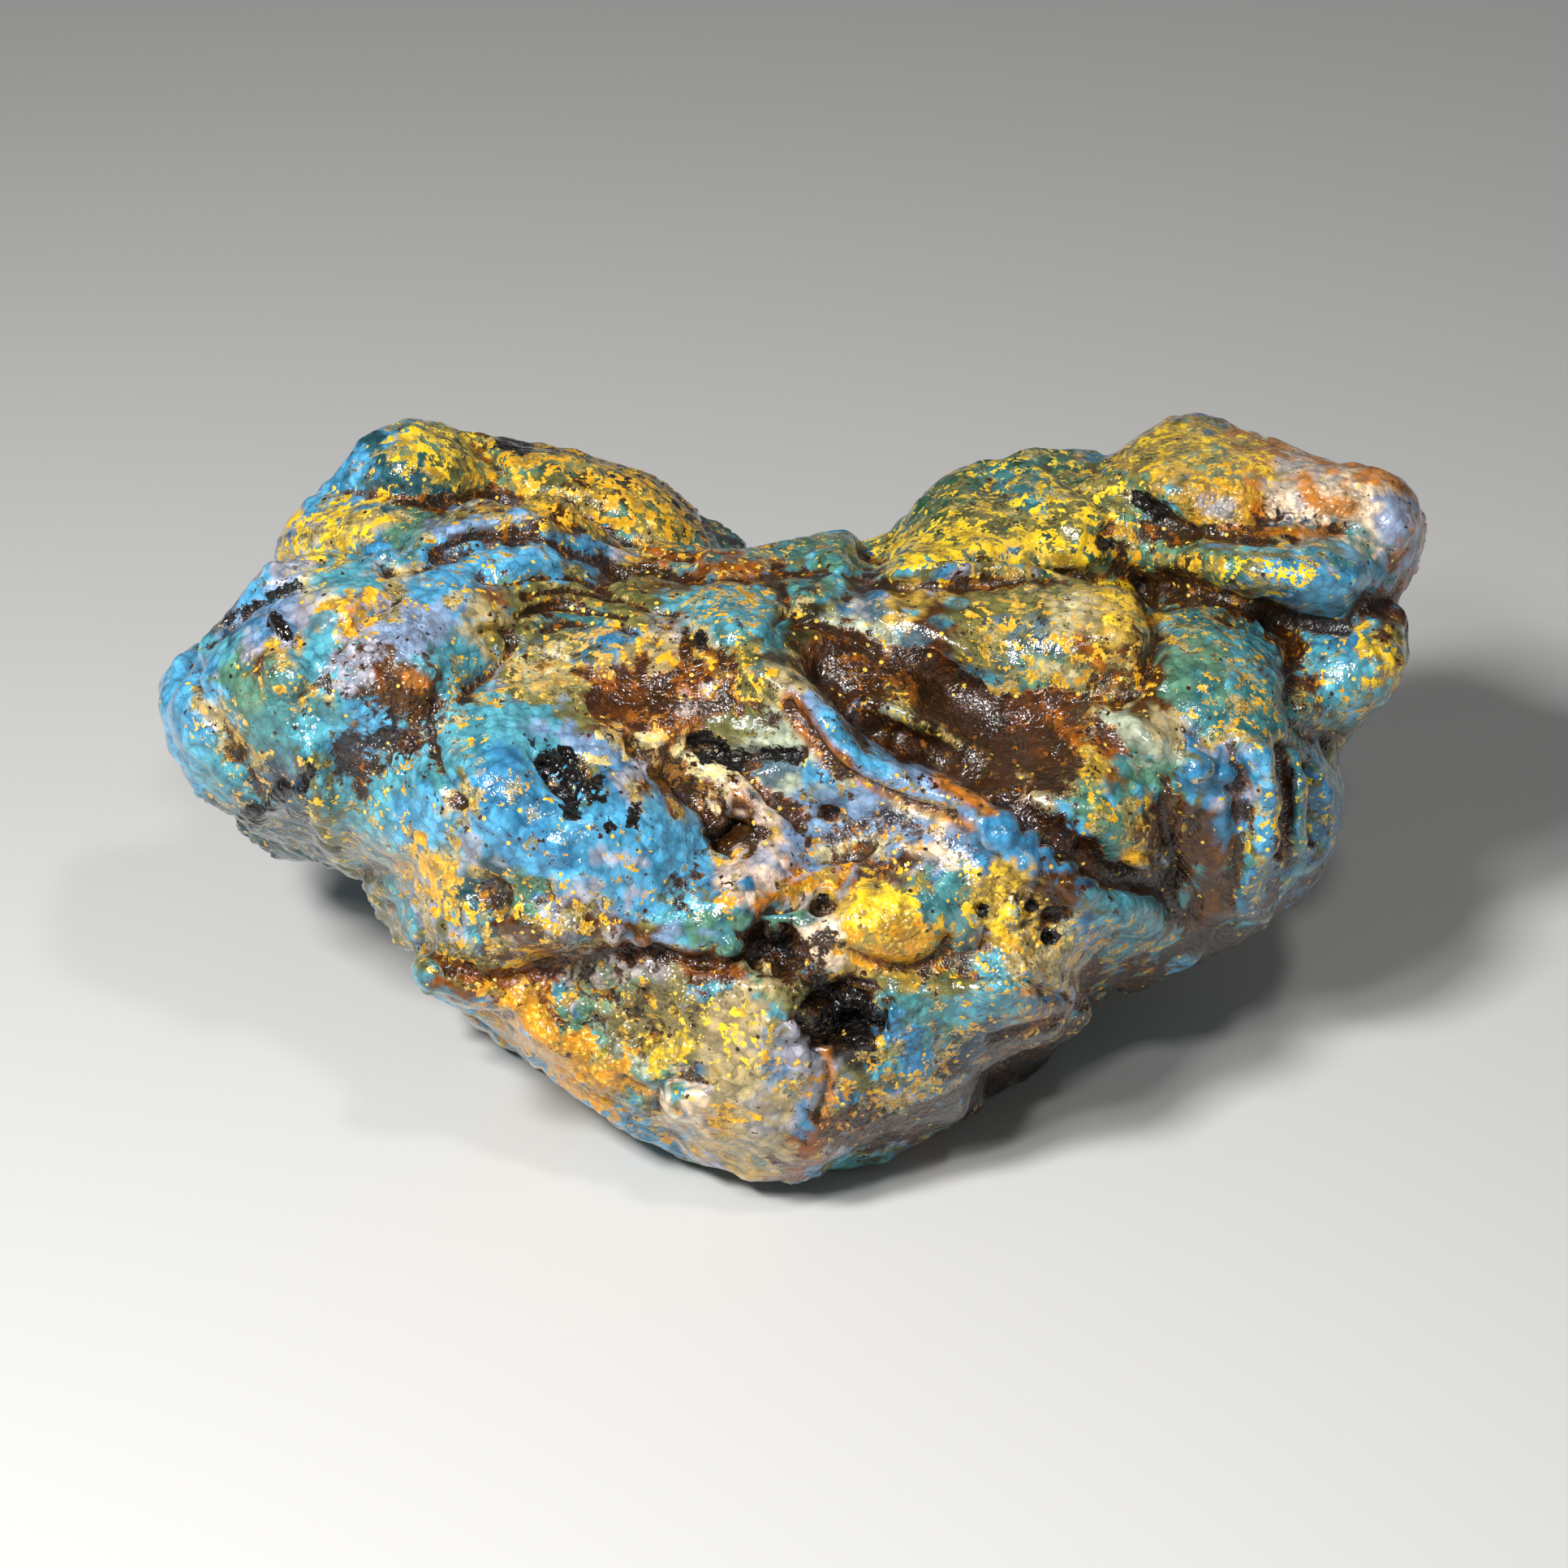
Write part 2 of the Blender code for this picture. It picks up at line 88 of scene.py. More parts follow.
def add_node(tree, kind, settings=None, links=None):
    """A shader node with its settings, by the name or number of a socket or by property, and its links."""
    node = tree.nodes.new(kind)
    for name, value in (settings or {}).items():
        if isinstance(name, int) or name in node.inputs:
            node.inputs[name].default_value = value
        else:
            setattr(node, name, value)
    for name, source in (links or {}).items():
        tree.links.new(source, node.inputs[name])
    return node


def new_material(name):
    """A material with nothing but its Principled shader, and that shader."""
    material = bpy.data.materials.new(name)
    material.use_nodes = True
    return material, material.node_tree, material.node_tree.nodes["Principled BSDF"]


camera_data = bpy.data.cameras.new("camera")
camera_data.lens = LENS
camera_data.sensor_width = SENSOR_WIDTH
camera_data.clip_start = NEAREST_SEEN
camera = bpy.data.objects.new("camera", camera_data)
bpy.context.scene.collection.objects.link(camera)
camera.location = (VIEW_ORIGIN + TOWARDS_CAMERA * VIEW_DISTANCE) * MM
camera.rotation_euler = (math.pi / 2 - VIEW_ELEVATION, 0.0, 0.0)
bpy.context.scene.camera = camera
bpy.context.scene.view_settings.view_transform = "Standard"

bpy.ops.mesh.primitive_plane_add(size=TABLE_SIDE * MM)
table = bpy.context.object
table.name = "table"
painted_board, board_tree, board_shader = new_material("painted_board_matt")
board_shader.inputs["Base Color"].default_value = (*linear("#CBCAC7"), 1.0)
board_shader.inputs["Roughness"].default_value = BOARD_ROUGHNESS
table.data.materials.append(painted_board)

room = bpy.data.worlds.new("room")
room.use_nodes = True
room.node_tree.nodes["Background"].inputs["Color"].default_value = (*linear(ROOM_COLOUR), 1.0)
room.node_tree.nodes["Background"].inputs["Strength"].default_value = ROOM_STRENGTH
bpy.context.scene.world = room

for name, place, side, watts, colour in LAMPS:
    lamp_data = bpy.data.lights.new(name, "AREA")
    lamp_data.size = side * MM
    lamp_data.energy = watts
    lamp_data.color = linear(colour)
    lamp = bpy.data.objects.new(name, lamp_data)
    bpy.context.scene.collection.objects.link(lamp)
    lamp.location = Vector(place) * MM
    lamp.rotation_euler = (LAMP_AIM - Vector(place)).to_track_quat("-Z", "Y").to_euler()

# The stone: a nodule of fossil tree resin, hardened for millions of years in clay and coal. It is one
# piece, grown in lobes, so it is one mesh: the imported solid's shape, made again from points a third of a
# millimetre apart and smoothed until no facet of the solid is left.

DENSE_VOXEL = 0.30  # mm
FACET_PASSES = 24  # rounds of smoothing that take the solid's facets off
BOX_INSET = 0.02  # mm that the stone stays inside the solid's box
GRAIN_ORIGIN = np.array((11.3, 4.1, 7.9))  # mm, moves the noise to a part of it that suits the lump


def evaluated_mesh(mesh, name, modifiers):
    """A mesh as these modifiers leave it, each given as its name, its type and its settings."""
    holder = bpy.data.objects.new(name + "_holder", mesh)
    bpy.context.scene.collection.objects.link(holder)
    for title, kind, settings in modifiers:
        modifier = holder.modifiers.new(title, kind)
        for setting, value in settings.items():
            setattr(modifier, setting, value)
    graph = bpy.context.evaluated_depsgraph_get()
    made = bpy.data.meshes.new_from_object(holder.evaluated_get(graph))
    bpy.data.objects.remove(holder)
    made.name = name
    return made


def points_of(mesh):
    """The mesh's points in millimetres."""
    flat = np.empty(len(mesh.vertices) * 3)
    mesh.vertices.foreach_get("co", flat)
    return flat.reshape(-1, 3) / MM


def normals_of(mesh):
    """The direction out of the stone at each of the mesh's points."""
    flat = np.empty(len(mesh.vertices) * 3)
    mesh.vertex_normals.foreach_get("vector", flat)
    return flat.reshape(-1, 3)


def set_points(mesh, points):
    """Moves the mesh's points to these places in millimetres, none of them out of the solid's box."""
    low, high = (np.array(corner) / MM + inset for corner, inset in zip(solid_box, (BOX_INSET, -BOX_INSET)))
    mesh.vertices.foreach_set("co", (np.clip(points, low, high) * MM).ravel())
    mesh.update()


def seen_from_camera(points):
    """Where the camera sees each point: its (u, v)."""
    away = points - np.array(VIEW_ORIGIN)
    across = np.array((0.0, math.sin(VIEW_ELEVATION), math.cos(VIEW_ELEVATION)))
    depth = away @ np.array(TOWARDS_CAMERA)
    return np.column_stack([away[:, 0], away @ across]) * (VIEW_DISTANCE / (VIEW_DISTANCE - depth))[:, None]


def grain(points, size, shift=0.0):
    """Smooth noise between about -1 and 1, whose lumps are about this size in millimetres."""
    places = (points / size + GRAIN_ORIGIN + shift).tolist()
    return np.array([noise.noise(place) for place in places])


def smooth_path(corners, steps=5):
    """A Catmull-Rom curve through the corners, so that few points give a round course."""
    knots = np.array([corners[0], *corners, corners[-1]], float)
    made = []
    for before, start, end, after in zip(knots, knots[1:], knots[2:], knots[3:]):
        for t in np.arange(steps) / steps:
            made.append(
                0.5 * (
                    2 * start
                    + (end - before) * t
                    + (2 * before - 5 * start + 4 * end - after) * t ** 2
                    + (3 * start - before - 3 * end + after) * t ** 3
                )
            )
    made.append(knots[-1])
    return np.array(made)


def path_distance(seen, path):
    """How far each seen place is from a path, in millimetres."""
    nearest = np.full(len(seen), np.inf)
    for start, end in zip(path, path[1:]):
        run = end - start
        away = seen - start
        along = np.clip(away @ run / max(run @ run, 1e-9), 0.0, 1.0)
        nearest = np.minimum(nearest, np.linalg.norm(away - along[:, None] * run, axis=1))
    return nearest


def near_path(seen, course, reach):
    """Which of the seen places lie near a course, and how far they are from it."""
    path = smooth_path(course if isinstance(course[0], tuple) else (course, course))
    near = np.flatnonzero(((seen > path.min(axis=0) - reach) & (seen < path.max(axis=0) + reach)).all(axis=1))
    return near, path_distance(seen[near], path)


def smooth_step(low, high, values):
    """0 below low, 1 above high, and an S curve between."""
    share = np.clip((values - low) / (high - low), 0.0, 1.0)
    return share * share * (3 - 2 * share)


stone_mesh = evaluated_mesh(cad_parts["amber_lump"].data.copy(), "stone", (
    ("regrow", "REMESH", {"mode": "VOXEL", "voxel_size": DENSE_VOXEL * MM}),
    ("smooth", "SMOOTH", {"factor": 0.5, "iterations": FACET_PASSES}),
))

# The relief: resin that ran, pooled, shrank and was rubbed by gravel. Lips and rolls are where one run
# set over another, cracks and gullies where it shrank or weathered, and pits where gas or bark was.
# Round beads are drops of resin, and the rest is small lumps and dents all over, finer where it sparkles.

LIPS = {  # half width, height and course
    "lip of the gully": (1.1, 0.6, (
        (-1.2, 8.9), (1.6, 6.9), (3.5, 4.6), (5.4, 2.3), (8.4, 0.7), (12.0, -0.3), (15.3, -1.9), (18.3, -4.4),
        (21.3, -6.7), (24.8, -8.4),
    )),
    "second lip": (0.6, 0.8, ((5.6, 6.3), (8.4, 5.6), (11.2, 4.4), (13.6, 2.9), (15.2, 2.2))),
    "lip of the left crest": (0.9, 1.2, (
        (-27.4, 18.0), (-26.0, 19.3), (-23.6, 20.4), (-20.6, 20.4), (-18.6, 19.6),
    )),
    "left front edge": (1.0, 1.1, ((-36.4, 1.2), (-35.6, -2.2), (-34.0, -5.4), (-31.8, -8.4))),
    "fold beside the pale ridge": (0.8, 0.4, ((-6.4, 1.6), (-4.4, 0.2), (-2.6, -1.6), (-1.0, -2.8))),
    "lower roll": (1.0, 0.9, ((-20.0, -11.6), (-16.0, -11.3), (-13.0, -11.2), (-10.2, -11.4), (-7.4, -12.2))),
    "brow rim": (0.9, 0.5, ((25.2, 15.3), (27.0, 13.8), (27.4, 11.6), (26.6, 10.0))),
    "shelf rim": (0.8, 0.9, (
        (9.0, 17.2), (14.0, 17.2), (19.0, 17.0), (23.6, 17.4), (23.4, 18.8), (21.8, 19.8),
    )),
    "swirl on the shelf": (0.35, 0.5, ((20.2, 18.8), (21.2, 19.5), (22.4, 19.1), (22.4, 18.2), (21.2, 18.0))),
    "finger": (1.2, 0.8, ((33.0, 17.0), (36.0, 16.4), (39.6, 16.0), (43.4, 15.8))),
    "knob stripes one": (0.28, 0.35, ((44.6, 11.0), (45.4, 9.8), (45.6, 8.8))),
    "knob stripes two": (0.28, 0.35, ((45.6, 11.2), (46.4, 10.2), (46.6, 9.2))),
    "knob stripes three": (0.28, 0.35, ((46.6, 11.0), (47.2, 10.0), (47.3, 9.2))),
    "blue tongue": (0.8, 0.6, ((-17.4, 4.9), (-15.0, 4.0), (-12.8, 3.4))),
    "crevice lip": (0.7, 0.9, ((-1.6, -9.0), (0.2, -8.3), (1.4, -7.5), (3.4, -6.9), (5.2, -6.8))),
    "dome over the yellow lump": (0.7, 0.9, ((5.6, -7.6), (7.0, -5.9), (9.0, -5.1), (10.8, -5.9))),
    "orange band": (0.9, 0.7, ((-20.0, -15.6), (-19.4, -18.4), (-17.2, -20.8), (-13.8, -22.6))),
    "rust ledge": (0.7, 0.7, ((-26.6, -15.4), (-23.8, -16.4), (-20.4, -16.6))),
    "mint blade": (0.45, 0.8, ((-12.7, -20.3), (-11.6, -21.4), (-10.2, -22.6))),
    "yellow blade": (0.4, 0.7, ((-14.8, -20.2), (-14.0, -21.2), (-12.9, -22.3))),
    "green blade": (0.45, 0.7, ((-15.6, -17.0), (-13.6, -17.8), (-12.3, -19.2))),
    "grey blade": (0.45, 0.6, ((-1.2, -18.6), (-1.4, -20.4), (-2.0, -22.0))),
    "yellow ledge": (0.5, 0.6, ((-16.2, -13.6), (-14.8, -13.0), (-12.6, -12.8))),
    "shoulder": (0.9, 0.7, ((24.0, 5.4), (26.4, 4.6), (28.2, 3.4), (29.0, 2.4))),
    "rib one": (0.9, 0.9, ((36.2, 2.6), (37.2, 0.2), (37.6, -2.4), (37.0, -4.6))),
    "rib two": (0.5, 0.8, ((39.0, 2.2), (39.6, -0.4), (39.4, -3.2), (40.0, -4.8))),
    "rib three": (0.6, 0.7, ((41.0, 0.6), (41.9, -2.0), (41.4, -4.6), (40.4, -6.8))),
    "lavender spur": (0.6, 0.6, ((-28.2, -8.2), (-26.8, -10.4), (-25.2, -12.0))),
    "left seam lip": (0.5, 0.6, ((-45.0, 6.6), (-43.4, 5.0), (-42.4, 2.6), (-40.8, 0.6), (-39.4, -1.4))),
}
CRACKS = {  # half width, depth and course
    "gully": (0.8, 1.2, (
        (2.6, 8.4), (4.6, 6.6), (7.6, 4.2), (10.4, 2.6), (13.6, 1.0), (17.0, -1.2), (20.4, -3.9),
        (24.0, -6.5), (27.4, -7.9),
    )),
    "upper branch": (0.4, 0.9, ((4.6, 6.2), (7.0, 4.9), (10.0, 3.4), (12.6, 2.2))),
    "under the lip": (0.5, 0.9, ((0.6, 6.0), (2.2, 3.6), (3.8, 1.4), (6.4, -0.2), (9.6, -1.4), (12.8, -2.2))),
    "lower crack": (0.5, 0.8, (
        (-27.6, -12.6), (-25.4, -14.2), (-22.4, -14.9), (-19.4, -14.5), (-16.6, -13.8), (-13.6, -12.9),
        (-10.4, -12.7), (-8.0, -13.3), (-5.0, -13.9), (-2.6, -13.2),
    )),
    "crease under the left lip": (0.4, 0.8, (
        (-27.2, 17.6), (-25.4, 18.8), (-22.8, 19.3), (-20.0, 19.2), (-17.8, 18.6), (-14.6, 17.3),
        (-12.0, 16.5),
    )),
    "second crease": (0.35, 0.7, ((-30.6, 16.6), (-28.0, 16.9), (-25.6, 17.6), (-22.6, 18.6), (-20.0, 18.6))),
    "third crease": (0.35, 0.9, ((-23.2, 16.2), (-21.0, 15.6), (-19.2, 15.8), (-16.2, 15.9), (-13.4, 15.2))),
    "grain one": (0.25, 0.5, ((-20.0, 14.4), (-17.0, 14.9), (-13.6, 14.6), (-10.4, 13.6), (-8.4, 13.4))),
    "grain two": (0.25, 0.5, ((-20.4, 13.0), (-18.0, 13.7), (-14.8, 13.5), (-12.2, 12.8))),
    "grain three": (0.25, 0.5, ((-18.6, 11.8), (-16.2, 12.4), (-12.6, 12.0), (-9.8, 11.0))),
    "rear valley": (0.7, 0.7, (
        (-33.0, 22.6), (-29.4, 22.1), (-26.0, 21.9), (-22.8, 21.6), (-19.0, 21.0), (-15.4, 19.8),
        (-11.0, 18.2), (-7.4, 17.6),
    )),
    "peak crack": (0.5, 1.0, ((-23.6, 26.8), (-22.6, 25.4), (-22.0, 24.0))),
    "left seam": (0.35, 0.8, ((-44.8, 10.8), (-42.8, 12.2), (-41.0, 13.6), (-38.8, 14.8), (-37.4, 15.5))),
    "far left seam": (0.5, 0.9, (
        (-45.6, 9.6), (-45.4, 7.6), (-44.2, 6.2), (-43.0, 4.2), (-42.0, 1.8), (-40.2, -0.4),
    )),
    "olive seam": (0.4, 0.8, ((-34.4, 10.6), (-33.0, 12.0), (-31.4, 13.6), (-29.6, 14.6))),
    "hook by the orange pocket": (0.35, 1.1, (
        (-23.0, 11.9), (-21.7, 12.1), (-20.9, 11.2), (-21.2, 10.0), (-22.2, 9.2), (-24.2, 7.6),
    )),
    "edge of the blue bulge": (0.45, 0.9, ((-26.9, 6.4), (-27.2, 3.4), (-26.4, 0.8), (-25.0, -1.6))),
    "char edge": (0.4, 0.7, ((-19.3, 2.6), (-18.0, 1.0), (-17.0, -0.6), (-15.4, -1.7))),
    "black groove": (0.7, 1.4, ((-6.9, 3.2), (-5.2, 2.4), (-3.4, 2.1), (-2.3, 1.9))),
    "small black groove": (0.4, 1.0, ((-1.6, 2.3), (-0.2, 2.1), (1.1, 2.3))),
    "ridge crack": (0.4, 0.9, ((-3.0, 1.0), (-1.4, -0.4), (0.2, -2.0), (1.4, -3.2))),
    "rust crack": (0.35, 0.7, ((-9.0, 0.8), (-7.4, -0.8), (-6.0, -2.2), (-5.6, -3.6))),
    "saddle crease": (0.5, 0.6, (
        (-13.6, 16.2), (-10.2, 16.6), (-6.4, 15.9), (-3.0, 16.1), (0.4, 16.6), (3.6, 16.4), (7.0, 15.6),
        (11.0, 15.3), (16.0, 15.5), (20.0, 15.9), (24.0, 16.1),
    )),
    "basin edge": (0.5, 1.0, ((-0.4, 12.4), (0.4, 14.0), (-0.2, 15.4))),
    "basin edge two": (0.5, 0.8, ((0.2, 12.2), (2.6, 12.2), (4.6, 11.4), (7.0, 10.2))),
    "behind the shelf": (0.5, 0.6, ((20.4, 24.6), (23.0, 22.6), (25.2, 20.8), (24.4, 18.8))),
    "honey lobe foot": (0.5, 0.6, (
        (27.0, 22.4), (29.0, 20.8), (31.6, 19.6), (35.6, 19.2), (39.6, 19.3), (43.4, 20.0),
    )),
    "finger foot": (0.6, 0.8, (
        (29.4, 15.4), (33.0, 14.5), (36.6, 13.4), (40.4, 12.3), (43.6, 12.5), (45.2, 14.4),
    )),
    "knob crease": (0.5, 0.8, ((38.6, 12.4), (39.3, 10.0), (39.0, 7.0), (40.0, 4.2), (42.6, 3.4))),
    "between ribs one": (0.4, 1.0, ((38.3, 2.8), (38.6, -0.6), (38.5, -3.6), (38.2, -5.2))),
    "between ribs two": (0.35, 0.9, ((40.3, 1.6), (40.7, -1.6), (40.4, -4.4))),
    "beside rib one": (0.7, 0.7, ((35.2, 2.0), (35.0, -1.6), (34.8, -5.0), (34.6, -9.0))),
    "hollow rim": (0.5, 0.9, ((29.4, 0.2), (29.4, -2.6), (30.0, -5.0), (30.2, -7.4))),
    "right brow crease": (0.5, 1.0, ((27.6, 15.2), (28.4, 13.0), (28.6, 10.4), (27.4, 7.8), (25.6, 6.4))),
    "under the orange crevice": (0.5, 1.0, ((-1.2, -9.8), (0.6, -9.2), (1.6, -8.6))),
    "yellow lump foot": (0.4, 0.8, ((4.6, -12.6), (6.6, -13.9), (9.4, -14.2), (11.6, -13.4), (12.8, -12.0))),
    "black pit rim": (0.4, 0.9, ((1.4, -18.2), (2.8, -16.6), (4.8, -15.5), (7.0, -15.7), (8.4, -17.2))),
    "tongue edge": (0.35, 0.7, ((2.4, -20.2), (3.4, -21.8), (3.2, -24.0), (2.6, -25.6))),
    "bead rim": (0.35, 0.7, ((-9.9, -25.4), (-9.8, -23.6), (-8.2, -22.6), (-6.2, -23.0))),
    "recess rim": (0.4, 0.7, (
        (-18.4, -17.0), (-17.2, -18.8), (-15.4, -20.4), (-13.4, -22.0), (-11.0, -23.6),
    )),
    "right under edge": (0.4, 0.8, ((13.6, -14.6), (16.8, -14.6), (20.0, -15.8), (23.0, -16.6))),
    "rust seam": (0.35, 0.7, ((16.0, -19.8), (19.0, -18.8), (22.0, -17.8), (25.0, -16.4))),
    "flank folds": (0.4, 0.7, ((-38.4, 16.6), (-35.6, 17.2), (-32.8, 17.9), (-30.0, 16.9))),
}
DENTS = {  # centre, half sizes, turn in degrees, and height, below 0 where it goes in
    "black pit": ((4.8, -18.0), (3.2, 2.6), -20.0, -2.0),
    "brown pit": ((-0.8, -12.6), (2.4, 2.2), -30.0, -1.6),
    "amber pit": ((-3.9, -4.2), (1.9, 1.5), -35.0, -1.6),
    "socket": ((3.0, -9.1), (1.2, 1.0), 30.0, -1.6),
    "dark pit": ((3.5, -2.3), (1.0, 0.7), -20.0, -1.1),
    "pit by the crystal": ((15.2, -9.6), (0.7, 0.6), 0.0, -0.8),
    "pit two": ((19.0, -9.4), (0.45, 0.6), 0.0, -0.7),
    "pit three": ((21.0, -10.2), (1.4, 0.9), 0.0, -1.0),
    "pit four": ((20.4, -11.9), (0.6, 0.5), 0.0, -0.9),
    "pit five": ((20.1, -16.4), (0.5, 0.35), 0.0, -0.7),
    "eye on the shelf": ((-2.9, 15.7), (0.7, 0.35), -10.0, -0.5),
    "eye": ((-36.6, 0.6), (0.9, 0.7), 40.0, -0.6),
    "char": ((-16.8, 0.8), (2.6, 1.9), -35.0, -0.9),
    "slate recess": ((-22.6, -8.6), (2.0, 1.5), -20.0, -0.9),
    "green recess": ((-19.0, -8.4), (2.2, 1.3), -20.0, -0.6),
    "crystal recess": ((-12.0, -18.0), (6.0, 3.6), -20.0, -0.9),
    "drops": ((-8.6, -20.8), (2.0, 1.5), 0.0, 0.5),
    "gold knob": ((-38.2, 8.4), (2.0, 1.8), -40.0, 0.9),
    "yellow lump": ((7.9, -10.4), (3.6, 3.0), -20.0, 0.3),
    "amber bead": ((-7.6, -24.4), (2.2, 1.7), -10.0, 0.9),
    "orange spot": ((-33.6, 13.4), (1.1, 1.0), 0.0, 0.5),
    "blue oval": ((-31.2, 17.9), (2.0, 0.9), 5.0, 0.5),
    "orange pocket": ((-22.2, 10.9), (0.9, 1.2), 15.0, -0.4),
    "lilac knob": ((-13.3, -11.1), (0.9, 0.8), 0.0, 0.6),
    "lilac knob two": ((-10.9, -11.4), (1.0, 0.8), 0.0, 0.6),
    "lavender knob": ((14.0, -11.6), (1.3, 1.2), 0.0, 0.8),
    "ring": ((5.6, 13.8), (0.7, 0.5), 0.0, 0.4),
    "slate knob": ((7.8, 13.7), (1.8, 1.1), -20.0, 0.6),
    "blue swell": ((-13.8, 10.6), (1.9, 2.4), 0.0, 0.5),
    "brown grape": ((22.4, -8.3), (1.6, 1.1), -20.0, 0.9),
    "teal tip": ((27.2, -10.0), (2.4, 2.2), -40.0, 0.7),
    "gold chip": ((27.2, -6.0), (1.2, 0.7), -15.0, 0.6),
    "orange chip": ((27.0, -13.8), (0.8, 0.35), 25.0, 0.5),
    "orange chip two": ((18.9, -15.9), (0.7, 0.4), 25.0, 0.5),
    "pale flat": ((27.6, 3.2), (1.8, 1.3), -20.0, 0.4),
    "blue window": ((47.3, 19.8), (1.3, 2.1), -12.0, 0.5),
    "rust knob": ((1.0, -18.9), (1.0, 0.8), 20.0, 0.7),
    "tongue": ((1.3, -21.6), (1.3, 1.9), -10.0, 0.6),
    "tongue tip": ((3.4, -20.8), (0.7, 1.0), 35.0, 0.6),
}
BEADS = {  # centre, radius and height: drops of resin that set as round beads
    "black one": ((3.4, -18.1), 1.2, 1.1), "black two": ((5.6, -19.7), 1.4, 1.2),
    "black three": ((4.4, -20.3), 0.8, 0.9), "black four": ((6.6, -17.3), 1.0, 0.9),
    "black five": ((5.0, -17.0), 0.8, 0.8), "black six": ((2.2, -17.6), 0.6, 0.6),
    "grape one": ((16.6, -3.9), 1.5, 0.9), "grape two": ((18.7, -6.4), 1.1, 1.0),
    "grape three": ((18.9, -4.3), 0.8, 0.7), "grape four": ((20.2, -5.3), 0.7, 0.7),
    "grape five": ((21.7, -6.6), 0.8, 0.7), "grape six": ((17.4, -5.6), 0.7, 0.7),
    "grape seven": ((14.6, -3.0), 0.8, 0.5), "grape eight": ((20.2, -7.2), 0.6, 0.6),
    "grape nine": ((23.3, -8.1), 0.7, 0.6), "right grape": ((31.8, 1.2), 1.3, 0.9),
    "right grape two": ((34.0, 0.7), 0.8, 0.7), "right grape three": ((36.0, 2.2), 1.2, 0.7),
    "right grape four": ((31.1, -1.6), 0.8, 0.6), "right grape five": ((30.5, -8.4), 1.1, 0.8),
    "right grape six": ((34.5, 7.9), 0.9, 0.4), "char one": ((-38.9, 12.5), 0.7, 0.6),
    "char two": ((-38.4, 11.7), 0.8, 0.6), "char three": ((-37.2, -1.0), 1.3, 0.9),
    "char four": ((-38.7, -0.6), 0.8, 0.6), "char five": ((-41.0, -2.6), 1.1, 0.7),
    "char six": ((-17.4, 1.8), 0.7, 0.6), "char seven": ((-16.4, 0.9), 0.8, 0.6),
    "char eight": ((-15.4, -0.2), 0.8, 0.6), "char nine": ((-18.6, 2.1), 0.4, 0.4),
    "pit bead one": ((-0.8, -11.6), 0.7, 0.7), "pit bead two": ((0.7, -13.0), 0.8, 0.7),
    "pit bead three": ((-1.2, -13.7), 0.6, 0.6), "amber bead in the pit": ((-3.6, -4.4), 1.0, 0.8),
    "bead in the pit two": ((-4.8, -3.2), 0.6, 0.5), "yellow eye": ((-39.7, 17.2), 0.9, 0.4),
    "yellow dot": ((24.2, -1.9), 0.4, 0.3), "peach dot": ((-21.9, -3.6), 0.4, 0.3),
    "mint crystal": ((-24.3, -12.5), 0.7, 0.6), "pale crystal": ((17.6, -10.0), 0.9, 0.8),
    "teal chip": ((-4.0, -12.5), 0.9, 0.7), "yellow chip": ((-3.4, -14.2), 0.7, 0.6),
    "blue foot knob": ((-27.6, -14.8), 1.4, 0.8), "lilac foot": ((-1.6, -26.6), 1.2, 0.5),
    "lilac crystal": ((-7.4, -16.4), 1.1, 0.6), "grey crystal": ((-11.0, -14.8), 0.9, 0.6),
    "grey crystal two": ((-14.0, -15.0), 1.0, 0.5), "grey crystal three": ((-15.6, -17.4), 0.9, 0.6),
    "grey crystal four": ((-12.0, -16.6), 0.8, 0.6),
}
SPARKLING = {  # half width and course of the patches that are all small crystals
    "druse": (3.2, ((-32.6, 8.8), (-30.6, 7.4), (-28.6, 6.6), (-29.6, 4.0))),
    "lavender druse": (1.6, ((-34.0, 9.0), (-31.6, 10.4), (-28.8, 11.8))),
    "beside the gold knob": (1.6, ((-41.0, 8.8), (-38.6, 7.2), (-37.4, 5.4))),
    "crystals in the recess": (2.6, ((-16.0, -15.6), (-12.0, -15.8), (-7.6, -15.8), (-5.0, -14.6))),
    "lower crystals": (2.2, ((-16.4, -18.0), (-13.0, -18.8), (-10.4, -21.2))),
    "yellow drops": (1.8, ((-9.6, -19.6), (-8.4, -21.4))),
    "honey lobe left": (2.0, ((31.8, 21.6), (34.4, 21.4))),
    "honey lobe right": (1.6, ((38.2, 20.8), (40.6, 21.2), (44.0, 22.0))),
    "brown pit": (2.0, ((-1.4, -12.4), (1.4, -13.6), (2.2, -15.2))),
    "layers": (1.6, ((-21.0, -9.0), (-18.0, -9.4), (-16.0, -12.4))),
    "orange band": (1.2, ((-16.0, -22.4), (-13.4, -23.4), (-10.6, -26.4))),
    "grey foot": (1.6, ((-25.4, -13.4), (-21.6, -14.0))),
    "lower right": (2.0, ((9.0, -18.6), (8.0, -22.6), (6.0, -25.2))),
    "yellow lump": (2.0, ((7.4, -10.2), (8.6, -10.6))),
    "pitted gold": (2.2, ((16.0, -8.6), (18.6, -11.4), (17.4, -13.8))),
}
EDGE_WANDER = ((2.8, 0.65), (1.1, 0.35))  # size and reach of the wandering of every edge and course, mm
LUMPS = ((5.0, 0.32), (2.6, 0.16), (1.3, 0.10), (0.8, 0.06))  # size and height of the lumps everywhere, mm
CRINKLE = (2.2, 0.20)  # size and depth of the small rounded crinkles of the crust, mm
HIDDEN_CREASES = (9.0, 0.09, 0.7)  # spacing in mm, sharpness, and depth in mm of creases round the back
CRYSTAL_SIZE, CRYSTAL_HEIGHT = 1.0, 0.24  # mm
HIDDEN_PATCH = 9.0  # mm, the size of the patches of crystals round the back
